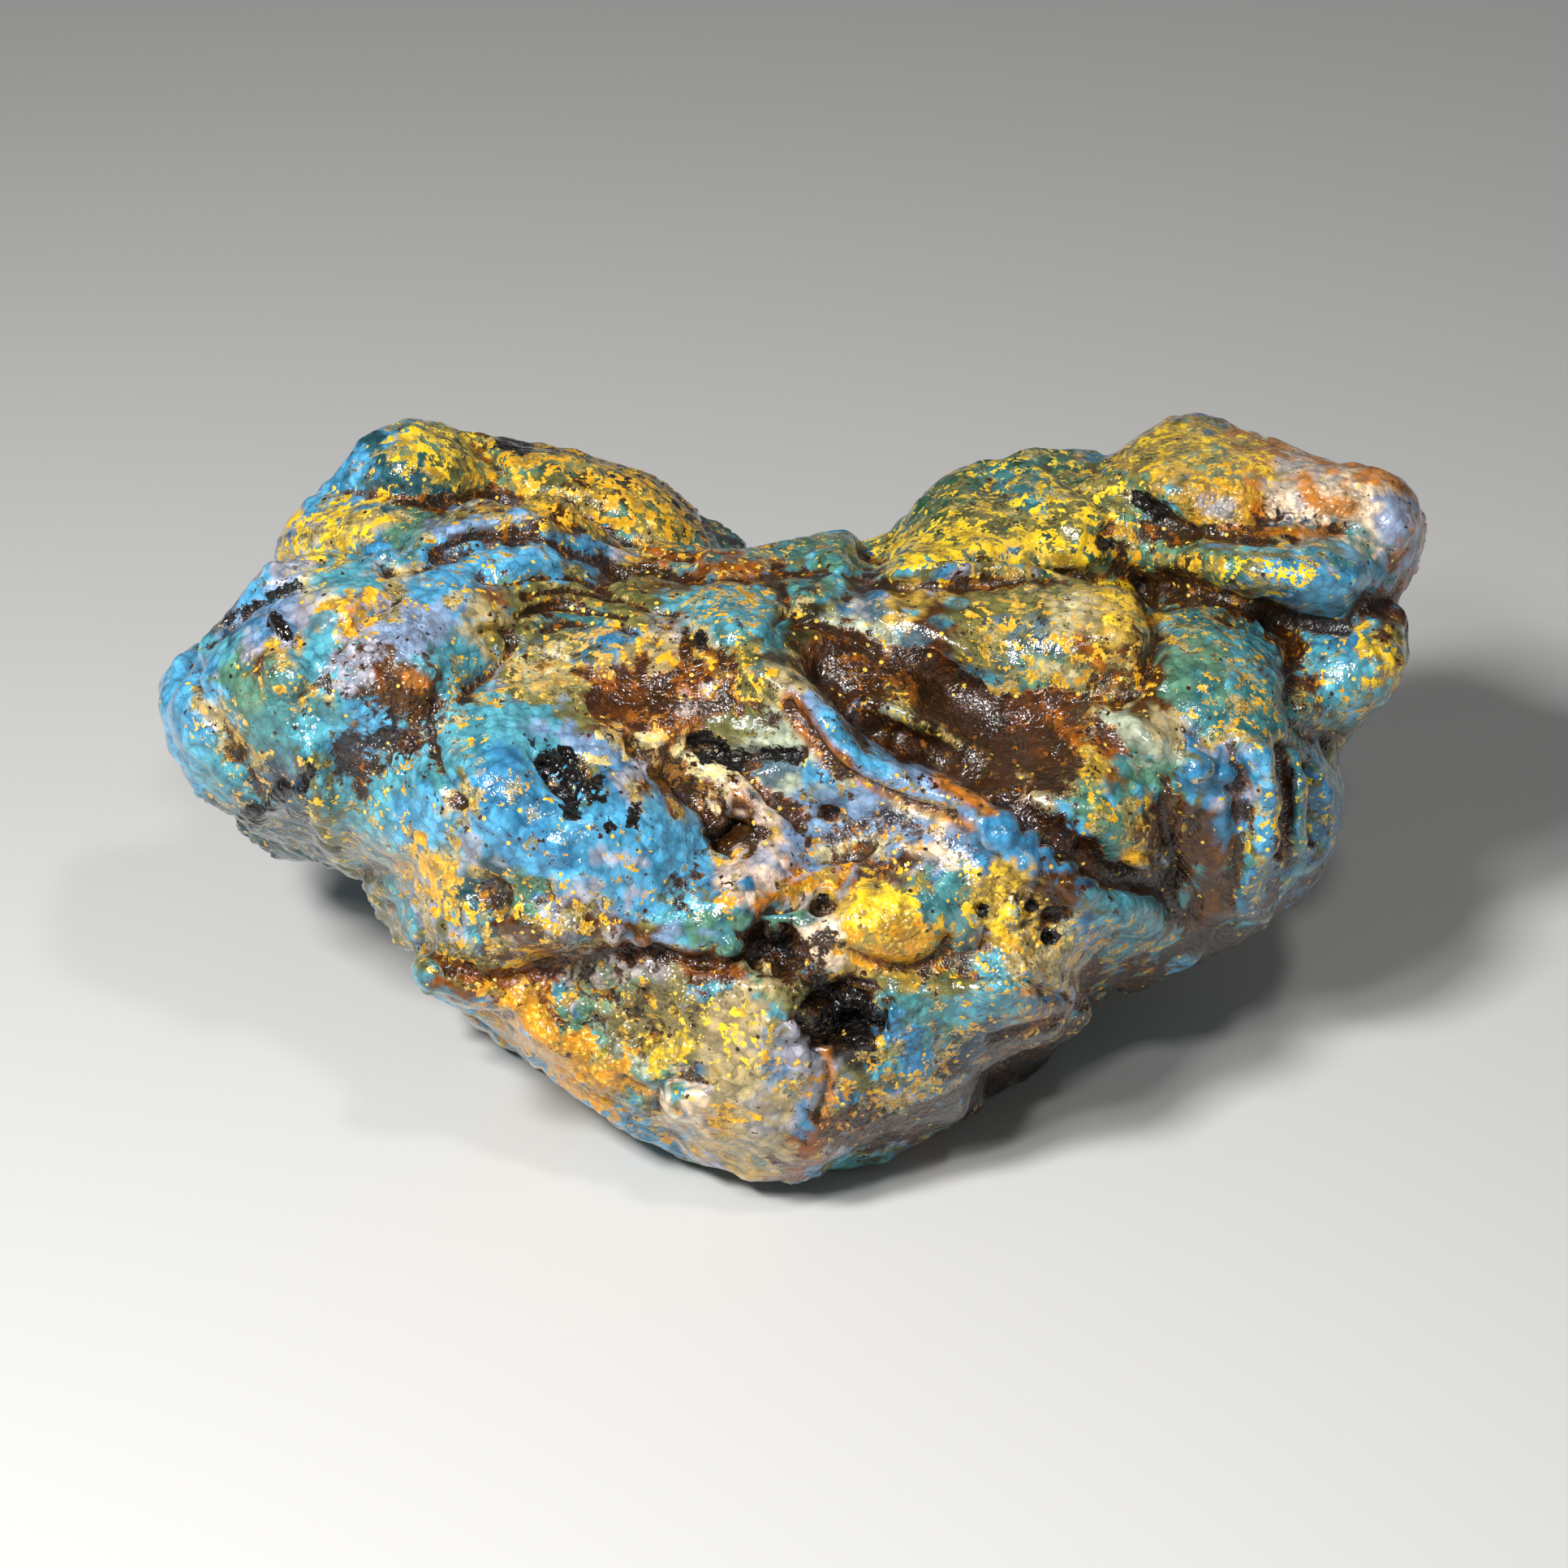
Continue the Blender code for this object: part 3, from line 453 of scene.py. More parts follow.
SHIFT_SEED = 7  # fixes how each crystal leans and each granule is shifted, so that every run is the same


def facing_camera(points, normals):
    """How squarely each point faces the camera, from 1 through 0 at the rim to -1 behind."""
    to_camera = np.array(VIEW_ORIGIN + TOWARDS_CAMERA * VIEW_DISTANCE) - points
    return (normals * to_camera).sum(axis=1) / np.linalg.norm(to_camera, axis=1)


def edge_wander(points):
    """How far the edge of a run, a lip or a crack strays at each point, in millimetres."""
    return sum(reach * grain(points, size, 20.0 + size) for size, reach in EDGE_WANDER)


def patch_weight(seen, patches):
    """How much each seen place lies in a set of patches, given as half width and course."""
    weight = np.zeros(len(seen))
    for half_width, course in patches.values():
        near, distance = near_path(seen, course, half_width * 1.5 + 1)
        distance += wander[near]
        weight[near] = np.maximum(weight[near], 1 - smooth_step(half_width * 0.6, half_width * 1.3, distance))
    return weight


def hidden_crystals(points):
    """How much each point lies in a patch of crystals round the back, where no patches are given."""
    return smooth_step(0.25, 0.45, grain(points, HIDDEN_PATCH, 3.0))


def front_relief(seen):
    """The height of the lips, cracks, dents and beads at each seen place, in mm."""
    height = np.zeros(len(seen))
    for half_width, rise, course in LIPS.values():
        near, distance = near_path(seen, course, half_width * 3)
        distance = np.abs(distance + wander[near] * half_width * 0.6)
        height[near] += rise * (0.85 + 0.5 * wander[near]) * np.exp(-(distance / half_width) ** 2)
    for half_width, depth, course in CRACKS.values():
        near, distance = near_path(seen, course, half_width * 4)
        distance = np.abs(distance + wander[near] * half_width)
        height[near] -= depth * np.exp(-(distance / half_width) ** 1.5)
    for centre, half_sizes, turn, rise in DENTS.values():
        away = seen - np.array(centre)
        c, s = math.cos(math.radians(turn)), math.sin(math.radians(turn))
        q = np.hypot((away[:, 0] * c + away[:, 1] * s) / half_sizes[0],
                     (away[:, 1] * c - away[:, 0] * s) / half_sizes[1]) + wander * 0.25
        height += rise * smooth_step(1.15, 0.35, q)
    for centre, radius, rise in BEADS.values():
        q = np.linalg.norm(seen - np.array(centre), axis=1) / radius
        dome = rise * np.sqrt(np.clip(1 - q * q, 0.0, 1.0))
        height = np.maximum(height, np.where(q < 1, height * 0.35 + dome, -np.inf))
    return height


def crystal_relief(points):
    """Heights of small crystals: the top of each is a plane that leans its own way."""
    heights = np.empty(len(points))
    for index, place in enumerate((points / CRYSTAL_SIZE).tolist()):
        distances, centres = noise.voronoi(place)
        centre = centres[0]
        lean = noise.noise_vector(centre * 1.7)
        offset = Vector(place) - centre
        edge = min(1.0, 2.5 * (distances[1] - distances[0]))  # falls to 0 where two crystals meet
        heights[index] = 0.55 * lean.dot(offset) + edge + 0.8 * lean.z
    return heights


noise.seed_set(SHIFT_SEED)
points, normals = points_of(stone_mesh), normals_of(stone_mesh)
seen = seen_from_camera(points)
facing = facing_camera(points, normals)
front = smooth_step(0.0, 0.35, facing)
wander = edge_wander(points)
sparkle = patch_weight(seen, SPARKLING) * front + (1 - front) * hidden_crystals(points)
height = front_relief(seen) * front
for size, rise in LUMPS:
    height += rise * grain(points, size)
size, depth = CRINKLE
where_crinkled = 0.35 + 0.65 * smooth_step(-0.2, 0.3, grain(points, 8.0, 9.0))
height += depth * (np.abs(grain(points, size, 5.0)) * 2.4 - 0.6) * where_crinkled
spacing, sharpness, depth = HIDDEN_CREASES
height -= depth * np.exp(-(grain(points, spacing, 7.0) / sharpness) ** 2) * (1 - front)
crystals = np.flatnonzero(sparkle > 0.02)
height[crystals] += CRYSTAL_HEIGHT * crystal_relief(points[crystals]) * sparkle[crystals]
set_points(stone_mesh, points + normals * height[:, None])

# The blue amber: clear to cloudy resin that shines blue in white light, from sky blue where it is fresh
# and thick to sea green and olive where light comes back through it, and lavender or milky where it is
# full of tiny bubbles. Each stroke is one run or band of the resin, laid over those before it.

MOST_TRIANGLES = 196000
AMBER_COLOURS = {
    "sky": "#58AED8", "azure": "#3D86B0", "periwinkle": "#84A3C6", "turquoise": "#5AAABA", "teal": "#4A8A8C",
    "deep_teal": "#2A5A62", "navy": "#22405A", "slate": "#566E78", "sea_green": "#5F8F74",
    "deep_green": "#3F6B50", "mint": "#B7BEA2", "lavender": "#B0AEBB", "lilac_grey": "#B3ABA6",
    "pale_pink": "#F2D3BC", "olive": "#7B7540", "dark_olive": "#40361A", "honey": "#D2A843",
    "peach": "#FFDDB6", "amber": "#D07A14", "tan": "#C4AC78", "cream": "#E3D3A0", "yellow": "#F6CC1E",
    "gold": "#E0A21F", "brown": "#5A3410", "dark_brown": "#28160A", "rust": "#94500F", "char": "#14110F",
}
HIDDEN_ZONES = (
    "sky", "teal", "sea_green", "turquoise", "olive", "azure", "lavender", "honey", "turquoise", "slate",
)
RUNS_OF_RESIN = (  # colour, half width and course
    # the rear lobe at the left and the flank below it
    ("teal", 6, ((-31, 24), (-34, 20))), ("sea_green", 4, ((-29, 26.5), (-26, 25), (-24.5, 23.5))),
    ("sky", 2.4, ((-31.5, 27.5), (-33.5, 24.5), (-37, 20.5), (-40.5, 17), (-44, 13))),
    ("azure", 1.2, ((-33, 25.5), (-29.5, 24.5))), ("sea_green", 2.6, ((-27.5, 24.5), (-26, 23))),
    ("brown", 1, ((-22.8, 26.5), (-22.3, 24.5))), ("olive", 1.6, ((-25, 26), (-23.5, 24.5))),
    ("sea_green", 3.2, ((-20, 24), (-15, 24), (-11, 22.5), (-8, 20.5))),
    ("olive", 1.6, ((-19, 22.5), (-13, 21.5), (-9, 20.2))), ("brown", 1.6, ((-16, 21.6), (-14.5, 22.3))),
    ("brown", 0.9, ((-31, 22.2), (-26, 21.8), (-21, 21.3), (-17, 20.6))),
    ("dark_brown", 1.4, ((-21, 26.6), (-16, 26.2), (-11, 24.6), (-7.5, 21.8), (-4.5, 19.2))),
    ("teal", 0.6, ((-6.8, 22.6), (-4.5, 20.5), (-2.4, 19))), ("azure", 0.9, ((-32.6, 17.9), (-30, 17.9))),
    ("sea_green", 1.5, ((-29, 20.6), (-25.5, 20.2))), ("azure", 1.3, ((-37, 20), (-38, 18.5))),
    ("lavender", 0.9, ((-37.8, 19.9), (-37, 20.6))), ("tan", 2.0, ((-36, 18.5), (-33, 19.5), (-31.5, 20.6))),
    ("lavender", 1.5, ((-39, 16), (-36.5, 16.2))), ("navy", 1.0, ((-44.8, 11), (-43, 12.6), (-41, 13.8))),
    # the left mass
    ("lavender", 3.5, ((-36, 14), (-31, 13), (-27, 13))), ("cream", 1.6, ((-35.6, 15.4), (-32, 11.4))),
    ("tan", 1.3, ((-33, 14.6), (-28.6, 14))), ("periwinkle", 1.6, ((-41, 13), (-38, 14.3))),
    ("turquoise", 1.6, ((-34, 16), (-32.5, 15.8))), ("sky", 2.3, ((-27.5, 14.6), (-25.5, 14), (-26, 11.5))),
    ("tan", 1.3, ((-24, 13.5), (-23.7, 11))), ("rust", 1.0, ((-22.3, 14.6), (-22.5, 13.8))),
    ("amber", 1.0, ((-34, 13.6), (-33.3, 13.2))), ("olive", 0.9, ((-33.8, 11.2), (-32, 13), (-30.4, 14.2))),
    ("lavender", 2.4, ((-32, 11.2), (-29.5, 12))), ("periwinkle", 1.6, ((-29, 12), (-27.3, 11.5))),
    ("honey", 0.9, ((-22.3, 11), (-22.2, 10.4))),
    ("dark_brown", 0.4, ((-21.6, 12), (-20.8, 11.2), (-21.3, 9.9))),
    ("turquoise", 3.2, ((-26, 8), (-25, 4.5))), ("brown", 3.2, ((-31, 7.6), (-29, 6.5), (-29.5, 4))),
    ("turquoise", 2.0, ((-35.5, 10.5), (-35, 7))), ("rust", 0.9, ((-31, 8.7), (-30.3, 8.3))),
    ("amber", 0.7, ((-28.5, 8), (-28, 7.8))), ("lavender", 1.4, ((-33.4, 8.5), (-32.5, 9.6))),
    ("honey", 1.7, ((-38.8, 9.3), (-38, 8), (-37.6, 7.6))), ("cream", 0.8, ((-38.9, 9.2), (-38.0, 8.4))),
    ("brown", 0.8, ((-39.8, 9.2), (-40.2, 8.4), (-39.4, 6.6))), ("teal", 3.2, ((-41, 6), (-38, 5), (-35, 4))),
    ("sea_green", 2, ((-41.5, 7.5), (-42.5, 6.5))), ("turquoise", 1.6, ((-45.5, 9.7), (-44, 10.5))),
    ("sky", 3.2, ((-46.5, 8), (-46.5, 4), (-45, 1), (-42.5, -1))),
    ("tan", 0.7, ((-44.9, 6.3), (-43.2, 4.6), (-42.2, 2.4), (-40.6, 0.4))),
    ("brown", 0.6, ((-42.5, 3.8), (-41, 1.2), (-39.6, -0.6))), ("turquoise", 2, ((-44, 2), (-42, -0.5))),
    ("deep_teal", 2.4, ((-43, -3.2), (-39, -4.6), (-36, -5.6))), ("navy", 1.5, ((-38.5, 0.5), (-38, 1))),
    ("turquoise", 3, ((-34, 3), (-31, 1))), ("sky", 1.6, ((-33, 4.6), (-31.5, 2))),
    # the left front below it
    ("turquoise", 4, ((-32, -2), (-29, -6), (-27, -10))), ("sky", 2, ((-28.5, -3), (-26.5, -1.5))),
    ("olive", 1, ((-36.4, 0.5), (-35.4, -2.5), (-34, -5.5), (-31.5, -8.5))),
    ("tan", 1.4, ((-29, -6), (-26.6, -6.2), (-25.2, -8))),
    ("lavender", 1.4, ((-28, -8), (-26, -11), (-25, -12))), ("tan", 1.3, ((-24.8, -1), (-22.6, -0.8))),
    ("deep_teal", 1.5, ((-23.8, -8.2), (-22, -9.4))), ("sea_green", 1.3, ((-20.5, -8), (-18.5, -9.2))),
    ("brown", 1.5, ((-22, -12), (-18, -11.5), (-15, -10.5))),
    ("lilac_grey", 0.9, ((-19.3, -12.4), (-16, -12.8))), ("olive", 2, ((-27, -13), (-24, -14))),
    ("olive", 1.6, ((-31, -10.5), (-29.5, -12.8))), ("turquoise", 1.3, ((-28, -14.6), (-26.9, -15.2))),
    ("gold", 1.5, ((-20.5, -15.5), (-19.3, -18.5), (-17, -21), (-13.5, -22.6))),
    ("peach", 0.9, ((-21.6, -18.2), (-19.8, -20.4))), ("mint", 0.5, ((-24.3, -12.5), (-24.2, -12.4))),
    ("rust", 1.0, ((-26.5, -15.3), (-23.5, -16.4), (-20, -16.4))),
    ("sky", 1.2, ((-25.5, -17.3), (-22, -19.8), (-18.5, -22.6), (-13, -26.4), (-9, -28.4))),
    # the blue bulge and the bands above it
    ("turquoise", 3.4, ((-24, 4), (-21, 3), (-19.5, -1))),
    ("sky", 4.2, ((-20, -2.5), (-15, -4.5), (-10, -5))), ("sky", 2.5, ((-16, -8), (-12, -8))),
    ("azure", 1.6, ((-22.5, 1.5), (-21, -2), (-18, -5.2))), ("lavender", 1.2, ((-13.5, -6.2), (-12, -6.4))),
    ("lavender", 1.0, ((-17.5, -9.6), (-14, -10))),
    ("periwinkle", 1.5, ((-17, 4.6), (-14, 3.6), (-12.8, 3.2))),
    ("olive", 2.2, ((-20, 8.8), (-17, 7.4), (-15.5, 9))), ("olive", 1.2, ((-16.5, 5.8), (-15.5, 5.2))),
    ("azure", 1.7, ((-14.2, 11.8), (-13.8, 9.8), (-14, 8.6))), ("amber", 0.3, ((-14, 9.3), (-13.9, 9.2))),
    ("olive", 2.2, ((-20, 13.6), (-14, 14.2), (-8, 13.6))), ("teal", 0.7, ((-18.5, 12.4), (-14, 12.9))),
    ("periwinkle", 1.2, ((-26.5, 19.4), (-23, 20.4), (-19.8, 19.8))),
    ("brown", 0.4, ((-27, 18), (-24, 19.2), (-20.5, 19.2), (-18, 18.6))),
    ("tan", 0.8, ((-30, 15.8), (-26, 17))),
    ("sky", 1.6, ((-27, 16.6), (-23, 17.6), (-18.5, 17.4), (-15.8, 17.5))),
    # the middle
    ("teal", 1.6, ((-6.3, 11.8), (-5.6, 11.2))), ("lilac_grey", 1.4, ((-8.8, 12.2), (-8.2, 11.6))),
    ("rust", 0.35, ((-8.3, 12.3), (-8.2, 12.2))), ("tan", 2.3, ((-11, 9.4), (-7.5, 9.2))),
    ("rust", 2.4, ((-12.5, 6), (-8, 6.2), (-5.5, 7.4))), ("lilac_grey", 1.2, ((-6.6, 6.6), (-5, 5.2))),
    ("olive", 2.4, ((-3, 8), (-2, 6), (-4, 4))), ("cream", 1.8, ((-11.5, 3.2), (-8, 2), (-5.2, 1))),
    ("rust", 1.1, ((-10.8, 1.8), (-8.6, 0.4))), ("mint", 1.4, ((-2.8, 3.4), (1.4, 3.6))),
    ("pale_pink", 1.3, ((-5.8, 1), (-3.5, -0.8), (-1.2, -2.6))), ("amber", 0.4, ((-4.2, 0.2), (-2.6, -2.0))),
    ("brown", 1.6, ((-4.6, -3.2), (-3.6, -4.6))), ("amber", 0.6, ((-3.6, -4.6), (-3.3, -4.2))),
    ("pale_pink", 2.0, ((-3, -6.5), (-1.5, -8))), ("mint", 1.6, ((0.8, -0.6), (3.5, -0.2), (4.2, 0.8))),
    ("brown", 0.9, ((3.4, -2.4), (3.8, -2.2))), ("sky", 0.9, ((3.2, 1.2), (4.6, 0.4))),
    ("lavender", 2.4, ((0.8, -5.5), (5, -4))), ("periwinkle", 3.0, ((3, -3), (8, -2.6), (12, -4))),
    # the saddle, the basin and the long gully
    ("teal", 1.2, ((-6, 17.8), (-2, 17.8), (1.5, 18))), ("rust", 0.9, ((-11, 17), (-5, 16.8), (0, 16.6))),
    ("sea_green", 1.6, ((2.5, 18.4), (5.5, 18.2))),
    ("turquoise", 1.8, ((-6.5, 14.4), (-3.5, 13.5), (-0.8, 12.6))), ("teal", 1.4, ((-3, 11), (-1.5, 10.4))),
    ("dark_olive", 3, ((2, 11.5), (6, 8.5), (11, 6))), ("brown", 2.8, ((9, 6.4), (16, 3.5), (20, 1.5))),
    ("slate", 1.1, ((6.5, 14.2), (8.8, 13.2))), ("honey", 1.3, ((9.5, 13.8), (11.5, 12.2))),
    ("brown", 1.1, ((10.6, 12.4), (12.4, 11.2), (14, 10.2))), ("mint", 0.8, ((3.5, 12.4), (6, 12), (8, 11))),
    ("lilac_grey", 0.5, ((5.6, 13.8), (5.7, 13.8))), ("dark_olive", 2.4, ((6, 7.5), (12, 5))),
    ("rust", 1.0, ((3.4, 10.4), (6.5, 9.6), (9.5, 8))),
    ("olive", 1.1, ((5.8, 6), (9.5, 5), (12.5, 3.6), (14.6, 2.6))), ("mint", 0.4, ((6.2, 6.2), (9, 5.4))),
    ("dark_brown", 1.1, ((3.8, 7.2), (8, 4), (12, 1.8), (16.5, -0.8), (21, -4.2), (25.5, -7))),
    ("tan", 1.0, ((-1.3, 8.8), (2, 6.8))), ("tan", 0.5, ((15, 2), (18, 0.4), (20.5, -1.6))),
    ("periwinkle", 1.6, ((3, 5.6), (5, 3.2), (8, 1.2), (11.5, -0.2), (13.5, -1.2))),
    ("sky", 0.8, ((3.6, 5.2), (5, 3), (7.6, 1.2))), ("rust", 0.8, ((0.6, 6.2), (2.2, 3.6), (4.6, 1.4))),
    ("amber", 0.6, ((12, 0.4), (15.5, -1.6), (18.5, -4.2), (21, -6.2))),
    # the right of the middle
    ("olive", 3.4, ((16, 13), (20, 12), (22, 9))), ("honey", 2, ((24.8, 14.4), (26.3, 12.4), (25.8, 11))),
    ("tan", 2, ((22.5, 13.6), (22.2, 12))), ("slate", 1.6, ((18.6, 11.4), (18.8, 9.4), (20.6, 9.6))),
    ("sea_green", 1.7, ((21, 8.6), (18.5, 7.8))), ("rust", 0.7, ((22.8, 11), (23, 10.4))),
    ("rust", 2.0, ((19, 6), (22, 4.6), (24.5, 3))), ("amber", 1.4, ((24, 8.6), (26, 8.2))),
    ("olive", 1.8, ((25, 5.8), (28, 5.2))), ("brown", 2.4, ((27.5, 9.5), (28.5, 7.5))),
    ("teal", 2, ((30.5, 14), (32.8, 12.8))), ("turquoise", 2.6, ((36, 10.6), (36.2, 8.6))),
    ("sea_green", 2, ((32.5, 9.5), (31, 7.5))), ("teal", 2.0, ((33, 5.6), (35.5, 4.6))),
    ("mint", 1.6, ((25.5, 4.7), (27.6, 3.6), (28.4, 2.6))), ("tan", 1.1, ((29.5, 4.4), (29.8, 4))),
    ("sea_green", 1.8, ((23, -1.5), (25.2, -2.8))), ("yellow", 0.4, ((24.2, -1.9), (24.3, -1.9))),
    ("honey", 1.3, ((22.6, 2.2), (23.6, 0.8))), ("honey", 1.2, ((27.6, -2.8), (28.8, -3))),
    ("brown", 3, ((31, -3), (32, -7), (31.5, -10))), ("gold", 0.8, ((26.6, -5.8), (27.8, -6.2))),
    ("azure", 1.4, ((31.8, 1.2), (31.9, 1.3))), ("azure", 0.9, ((34, 0.8), (34.1, 0.7))),
    ("periwinkle", 1.1, ((36, 2.2), (36.1, 2.1))), ("teal", 1.0, ((30.5, -8.3), (30.6, -8.4))),
    # the dome, the honey lobe, the finger, the knob and the ribs at the right
    ("deep_green", 5, ((13, 22.5), (18, 23), (22, 20.5))), ("olive", 2.4, ((14, 19.8), (20, 21), (24, 22))),
    ("teal", 1.6, ((17, 23.2), (19.5, 22.4))), ("teal", 1.0, ((21.5, 18.6), (21.9, 18.7))),
    ("honey", 3.4, ((29, 26), (33, 24.5))), ("olive", 1.2, ((27.5, 26.5), (28.4, 24))),
    ("honey", 3.0, ((33, 22.4), (38, 23.6))), ("peach", 2.8, ((39, 23), (42, 22.4), (45.4, 21.4))),
    ("lilac_grey", 1.2, ((37.6, 24), (41, 23.4))), ("amber", 0.8, ((36.6, 25), (36, 22.6), (36.4, 20.8))),
    ("gold", 1.3, ((31.4, 22.6), (34.6, 21.4))), ("amber", 0.7, ((40, 23.6), (41, 21.6), (43.6, 21.2))),
    ("sea_green", 1.0, ((31, 25.6), (33.6, 24.6))), ("lilac_grey", 0.8, ((32.6, 21.6), (34, 21.2))),
    # the first amber stroke on each of the next two lines, along the rim of the honey lobe, is partly the
    # resin's own amber and partly a painted glow of light coming through the thin rim
    ("amber", 1.4, ((35, 27.6), (40, 26.4), (45, 24.8), (48.2, 23))),
    ("amber", 1.2, ((49.4, 22), (49.4, 18.6), (48.2, 16.2))), ("periwinkle", 1.5, ((47.2, 21), (46.8, 18.6))),
    ("rust", 0.9, ((48.8, 16.4), (47.4, 14.4))), ("amber", 0.5, ((31, 19.6), (37, 19.3), (43, 19.6))),
    ("sky", 2.2, ((38.5, 15.6), (42.5, 14.6), (44, 15.6))), ("teal", 1.3, ((40, 18.6), (43, 18.6))),
    ("sea_green", 2.2, ((26, 18.8), (30, 17.5), (33, 17))),
    ("dark_olive", 1.2, ((27, 15.6), (31, 15.6), (35, 13.4))), ("brown", 1.4, ((46.5, 14.5), (47.4, 13))),
    ("turquoise", 3.2, ((42, 9), (45, 8.5))), ("azure", 1.2, ((43.2, 10.6), (43.6, 10.4))),
    ("gold", 1.4, ((45.6, 10.6), (46.8, 9.4))), ("brown", 1.2, ((38.6, 11.4), (39.2, 7.4), (41, 3.8))),
    ("teal", 2.0, ((36.8, 6.4), (38, 4.4))), ("sky", 1.5, ((36.2, 1.4), (37, -1.2), (37.2, -3.6))),
    ("azure", 1.5, ((36.4, -9.2), (38, -8.2))), ("teal", 0.9, ((39.2, 1.5), (39.6, -1.2), (39.4, -4))),
    ("azure", 1.2, ((41.4, -0.8), (41.9, -3), (40.6, -6.4))),
    ("brown", 0.6, ((38.4, 2), (38.5, -2), (38.2, -5))),
    ("dark_brown", 1.5, ((41.5, -8.6), (38, -11.4), (33, -14))),
    # the lower right
    ("azure", 2, ((17, -4.2), (18.8, -6.3), (20.4, -5.6), (21.8, -6.8))),
    ("navy", 0.6, ((22.2, -5.8), (24.2, -7.8))), ("brown", 1.5, ((20.5, -8.3), (22.8, -8.3))),
    ("turquoise", 2.2, ((25.5, -8.6), (27.6, -10), (26, -11.4))), ("honey", 2.6, ((16.5, -8.5), (18.5, -11))),
    ("mint", 0.7, ((17.7, -9.4), (17.3, -10.6))), ("turquoise", 2.2, ((15.5, -16), (17.5, -17.6))),
    ("azure", 1.2, ((23, -12), (24.5, -12.8))), ("tan", 1.8, ((19, -13.6), (21.8, -13.8))),
    ("azure", 0.9, ((23.5, -16.5), (24, -15.8))), ("amber", 0.5, ((26.6, -13.9), (27.4, -13.6))),
    ("amber", 0.4, ((18.6, -16), (19.4, -15.8))), ("rust", 1.4, ((18.5, -19), (22.5, -17.8))),
    # the deep_teal stroke on the next line is painted shade, low on the right where the stone turns down to
    # the table
    ("deep_teal", 2.4, ((19, -22), (14, -25))),
    # the crevice, the yellow lump, the pits and the foot
    ("olive", 2.4, ((12, -14.5), (6, -15), (9, -16))),
    ("amber", 1.1, ((-1.4, -9), (0.8, -7.8), (3.2, -7), (5, -6.9))),
    ("lilac_grey", 1.3, ((3, -9.1), (3.1, -9))), ("dark_brown", 0.6, ((3, -9.1), (3.1, -9))),
    ("brown", 1.3, ((7.2, -6.6), (10, -5.8))), ("honey", 3.3, ((5.6, -11), (9.4, -11))),
    ("yellow", 2.3, ((7.2, -10), (8.8, -10.4))), ("olive", 1.6, ((11.8, -11.8), (11.2, -9))),
    ("lavender", 1.2, ((13.9, -11.4), (14, -11.5))), ("teal", 2.2, ((13, -8.5), (12.6, -10))),
    ("lilac_grey", 0.9, ((-13.3, -11.2), (-11, -11.4))),
    ("brown", 0.9, ((-19, -12), (-15, -11.2), (-9, -11.8))),
    ("periwinkle", 0.9, ((-8.6, -11.6), (-6.5, -12.6))),
    ("rust", 0.6, ((-21, -14.7), (-17, -13.8), (-12.5, -12.6), (-8, -13.2), (-4.5, -14))),
    ("dark_brown", 1.8, ((-1.6, -11.4), (-0.4, -13.6), (1.2, -12.4))),
    ("teal", 0.9, ((-4, -12.6), (-3.8, -12.4))), ("lilac_grey", 2, ((-15, -14.8), (-11, -14.6))),
    ("sea_green", 2.2, ((-14.5, -17.5), (-11, -17))), ("lavender", 1.3, ((-7.3, -16.2), (-7.2, -16.3))),
    ("olive", 3, ((-10, -18.5), (-6, -18.5))), ("yellow", 1.2, ((-8.6, -20.4), (-8.8, -21.6))),
    ("tan", 2.4, ((-4, -18.5), (-3.5, -21))), ("mint", 0.6, ((-12.6, -20.6), (-10.5, -22.2))),
    ("yellow", 0.5, ((-14.5, -20.5), (-13, -22.2))), ("peach", 2, ((-7.6, -24.6), (-7.5, -24.5))),
    ("gold", 1.2, ((-6, -28), (-4, -25.6))), ("tan", 2.4, ((-3.5, -24), (-2.5, -25.5), (-1, -28.5))),
    ("lilac_grey", 0.9, ((-3, -24.6), (-1.4, -26.4))), ("rust", 1.1, ((1, -18.8), (1.1, -18.7))),
    ("dark_brown", 2.5, ((3.3, -18), (5.4, -19.3), (6, -16.8))),
    ("lavender", 1.6, ((1.3, -20.8), (1.6, -23.4))), ("rust", 1.0, ((0.5, -29), (2.6, -27), (4.8, -25.6))),
    ("amber", 0.35, ((3.2, -20.5), (3.6, -23), (3.2, -25.6))),
    ("azure", 2.2, ((9.6, -18.8), (11, -22), (13, -23.4))), ("teal", 1.5, ((9, -17.2), (12, -17.5))),
    ("brown", 1.7, ((6, -26.4), (10, -26))), ("tan", 1.5, ((-3.4, -15.4), (0.6, -15.8))),
    ("olive", 1.1, ((1.6, -15), (0.4, -17.4))), ("rust", 0.8, ((-7, -14.2), (-3.4, -14.6))),
    ("honey", 1.4, ((6, -14.4), (11, -13.6))), ("peach", 1.2, ((3, -11.4), (4.4, -13))),
    # the deep_teal stroke at the end of the next line is painted shade, on the face of the rear lobe that
    # turns away from the key light
    ("navy", 1.2, ((12.6, -21), (15.4, -19.4))), ("deep_teal", 2.0, ((-31.6, 24.8), (-28.8, 23.2))),
    # the dark_brown stroke that opens the next line is painted shade, on the lower right where the stone
    # turns down to the table
    ("dark_brown", 2.4, ((27, -16.6), (20, -21.6), (13, -26))), ("cream", 0.8, ((3, -5.4), (7, -4.6))),
    ("tan", 0.7, ((8.6, -1.4), (12.4, -2.4))), ("peach", 0.9, ((10, -5.6), (13.4, -5.4))),
    ("rust", 0.3, (
        (3.4, 7.4), (5.6, 5.0), (8, 3.1), (11, 1.9), (15, 0.4), (18.4, -2.0), (21.4, -4.6), (24, -6.4),
    )),
    ("amber", 0.3, ((0.4, 6.4), (2, 3.8), (4.6, 1.2), (8, -0.8), (12, -2.2), (14.4, -3.4))),
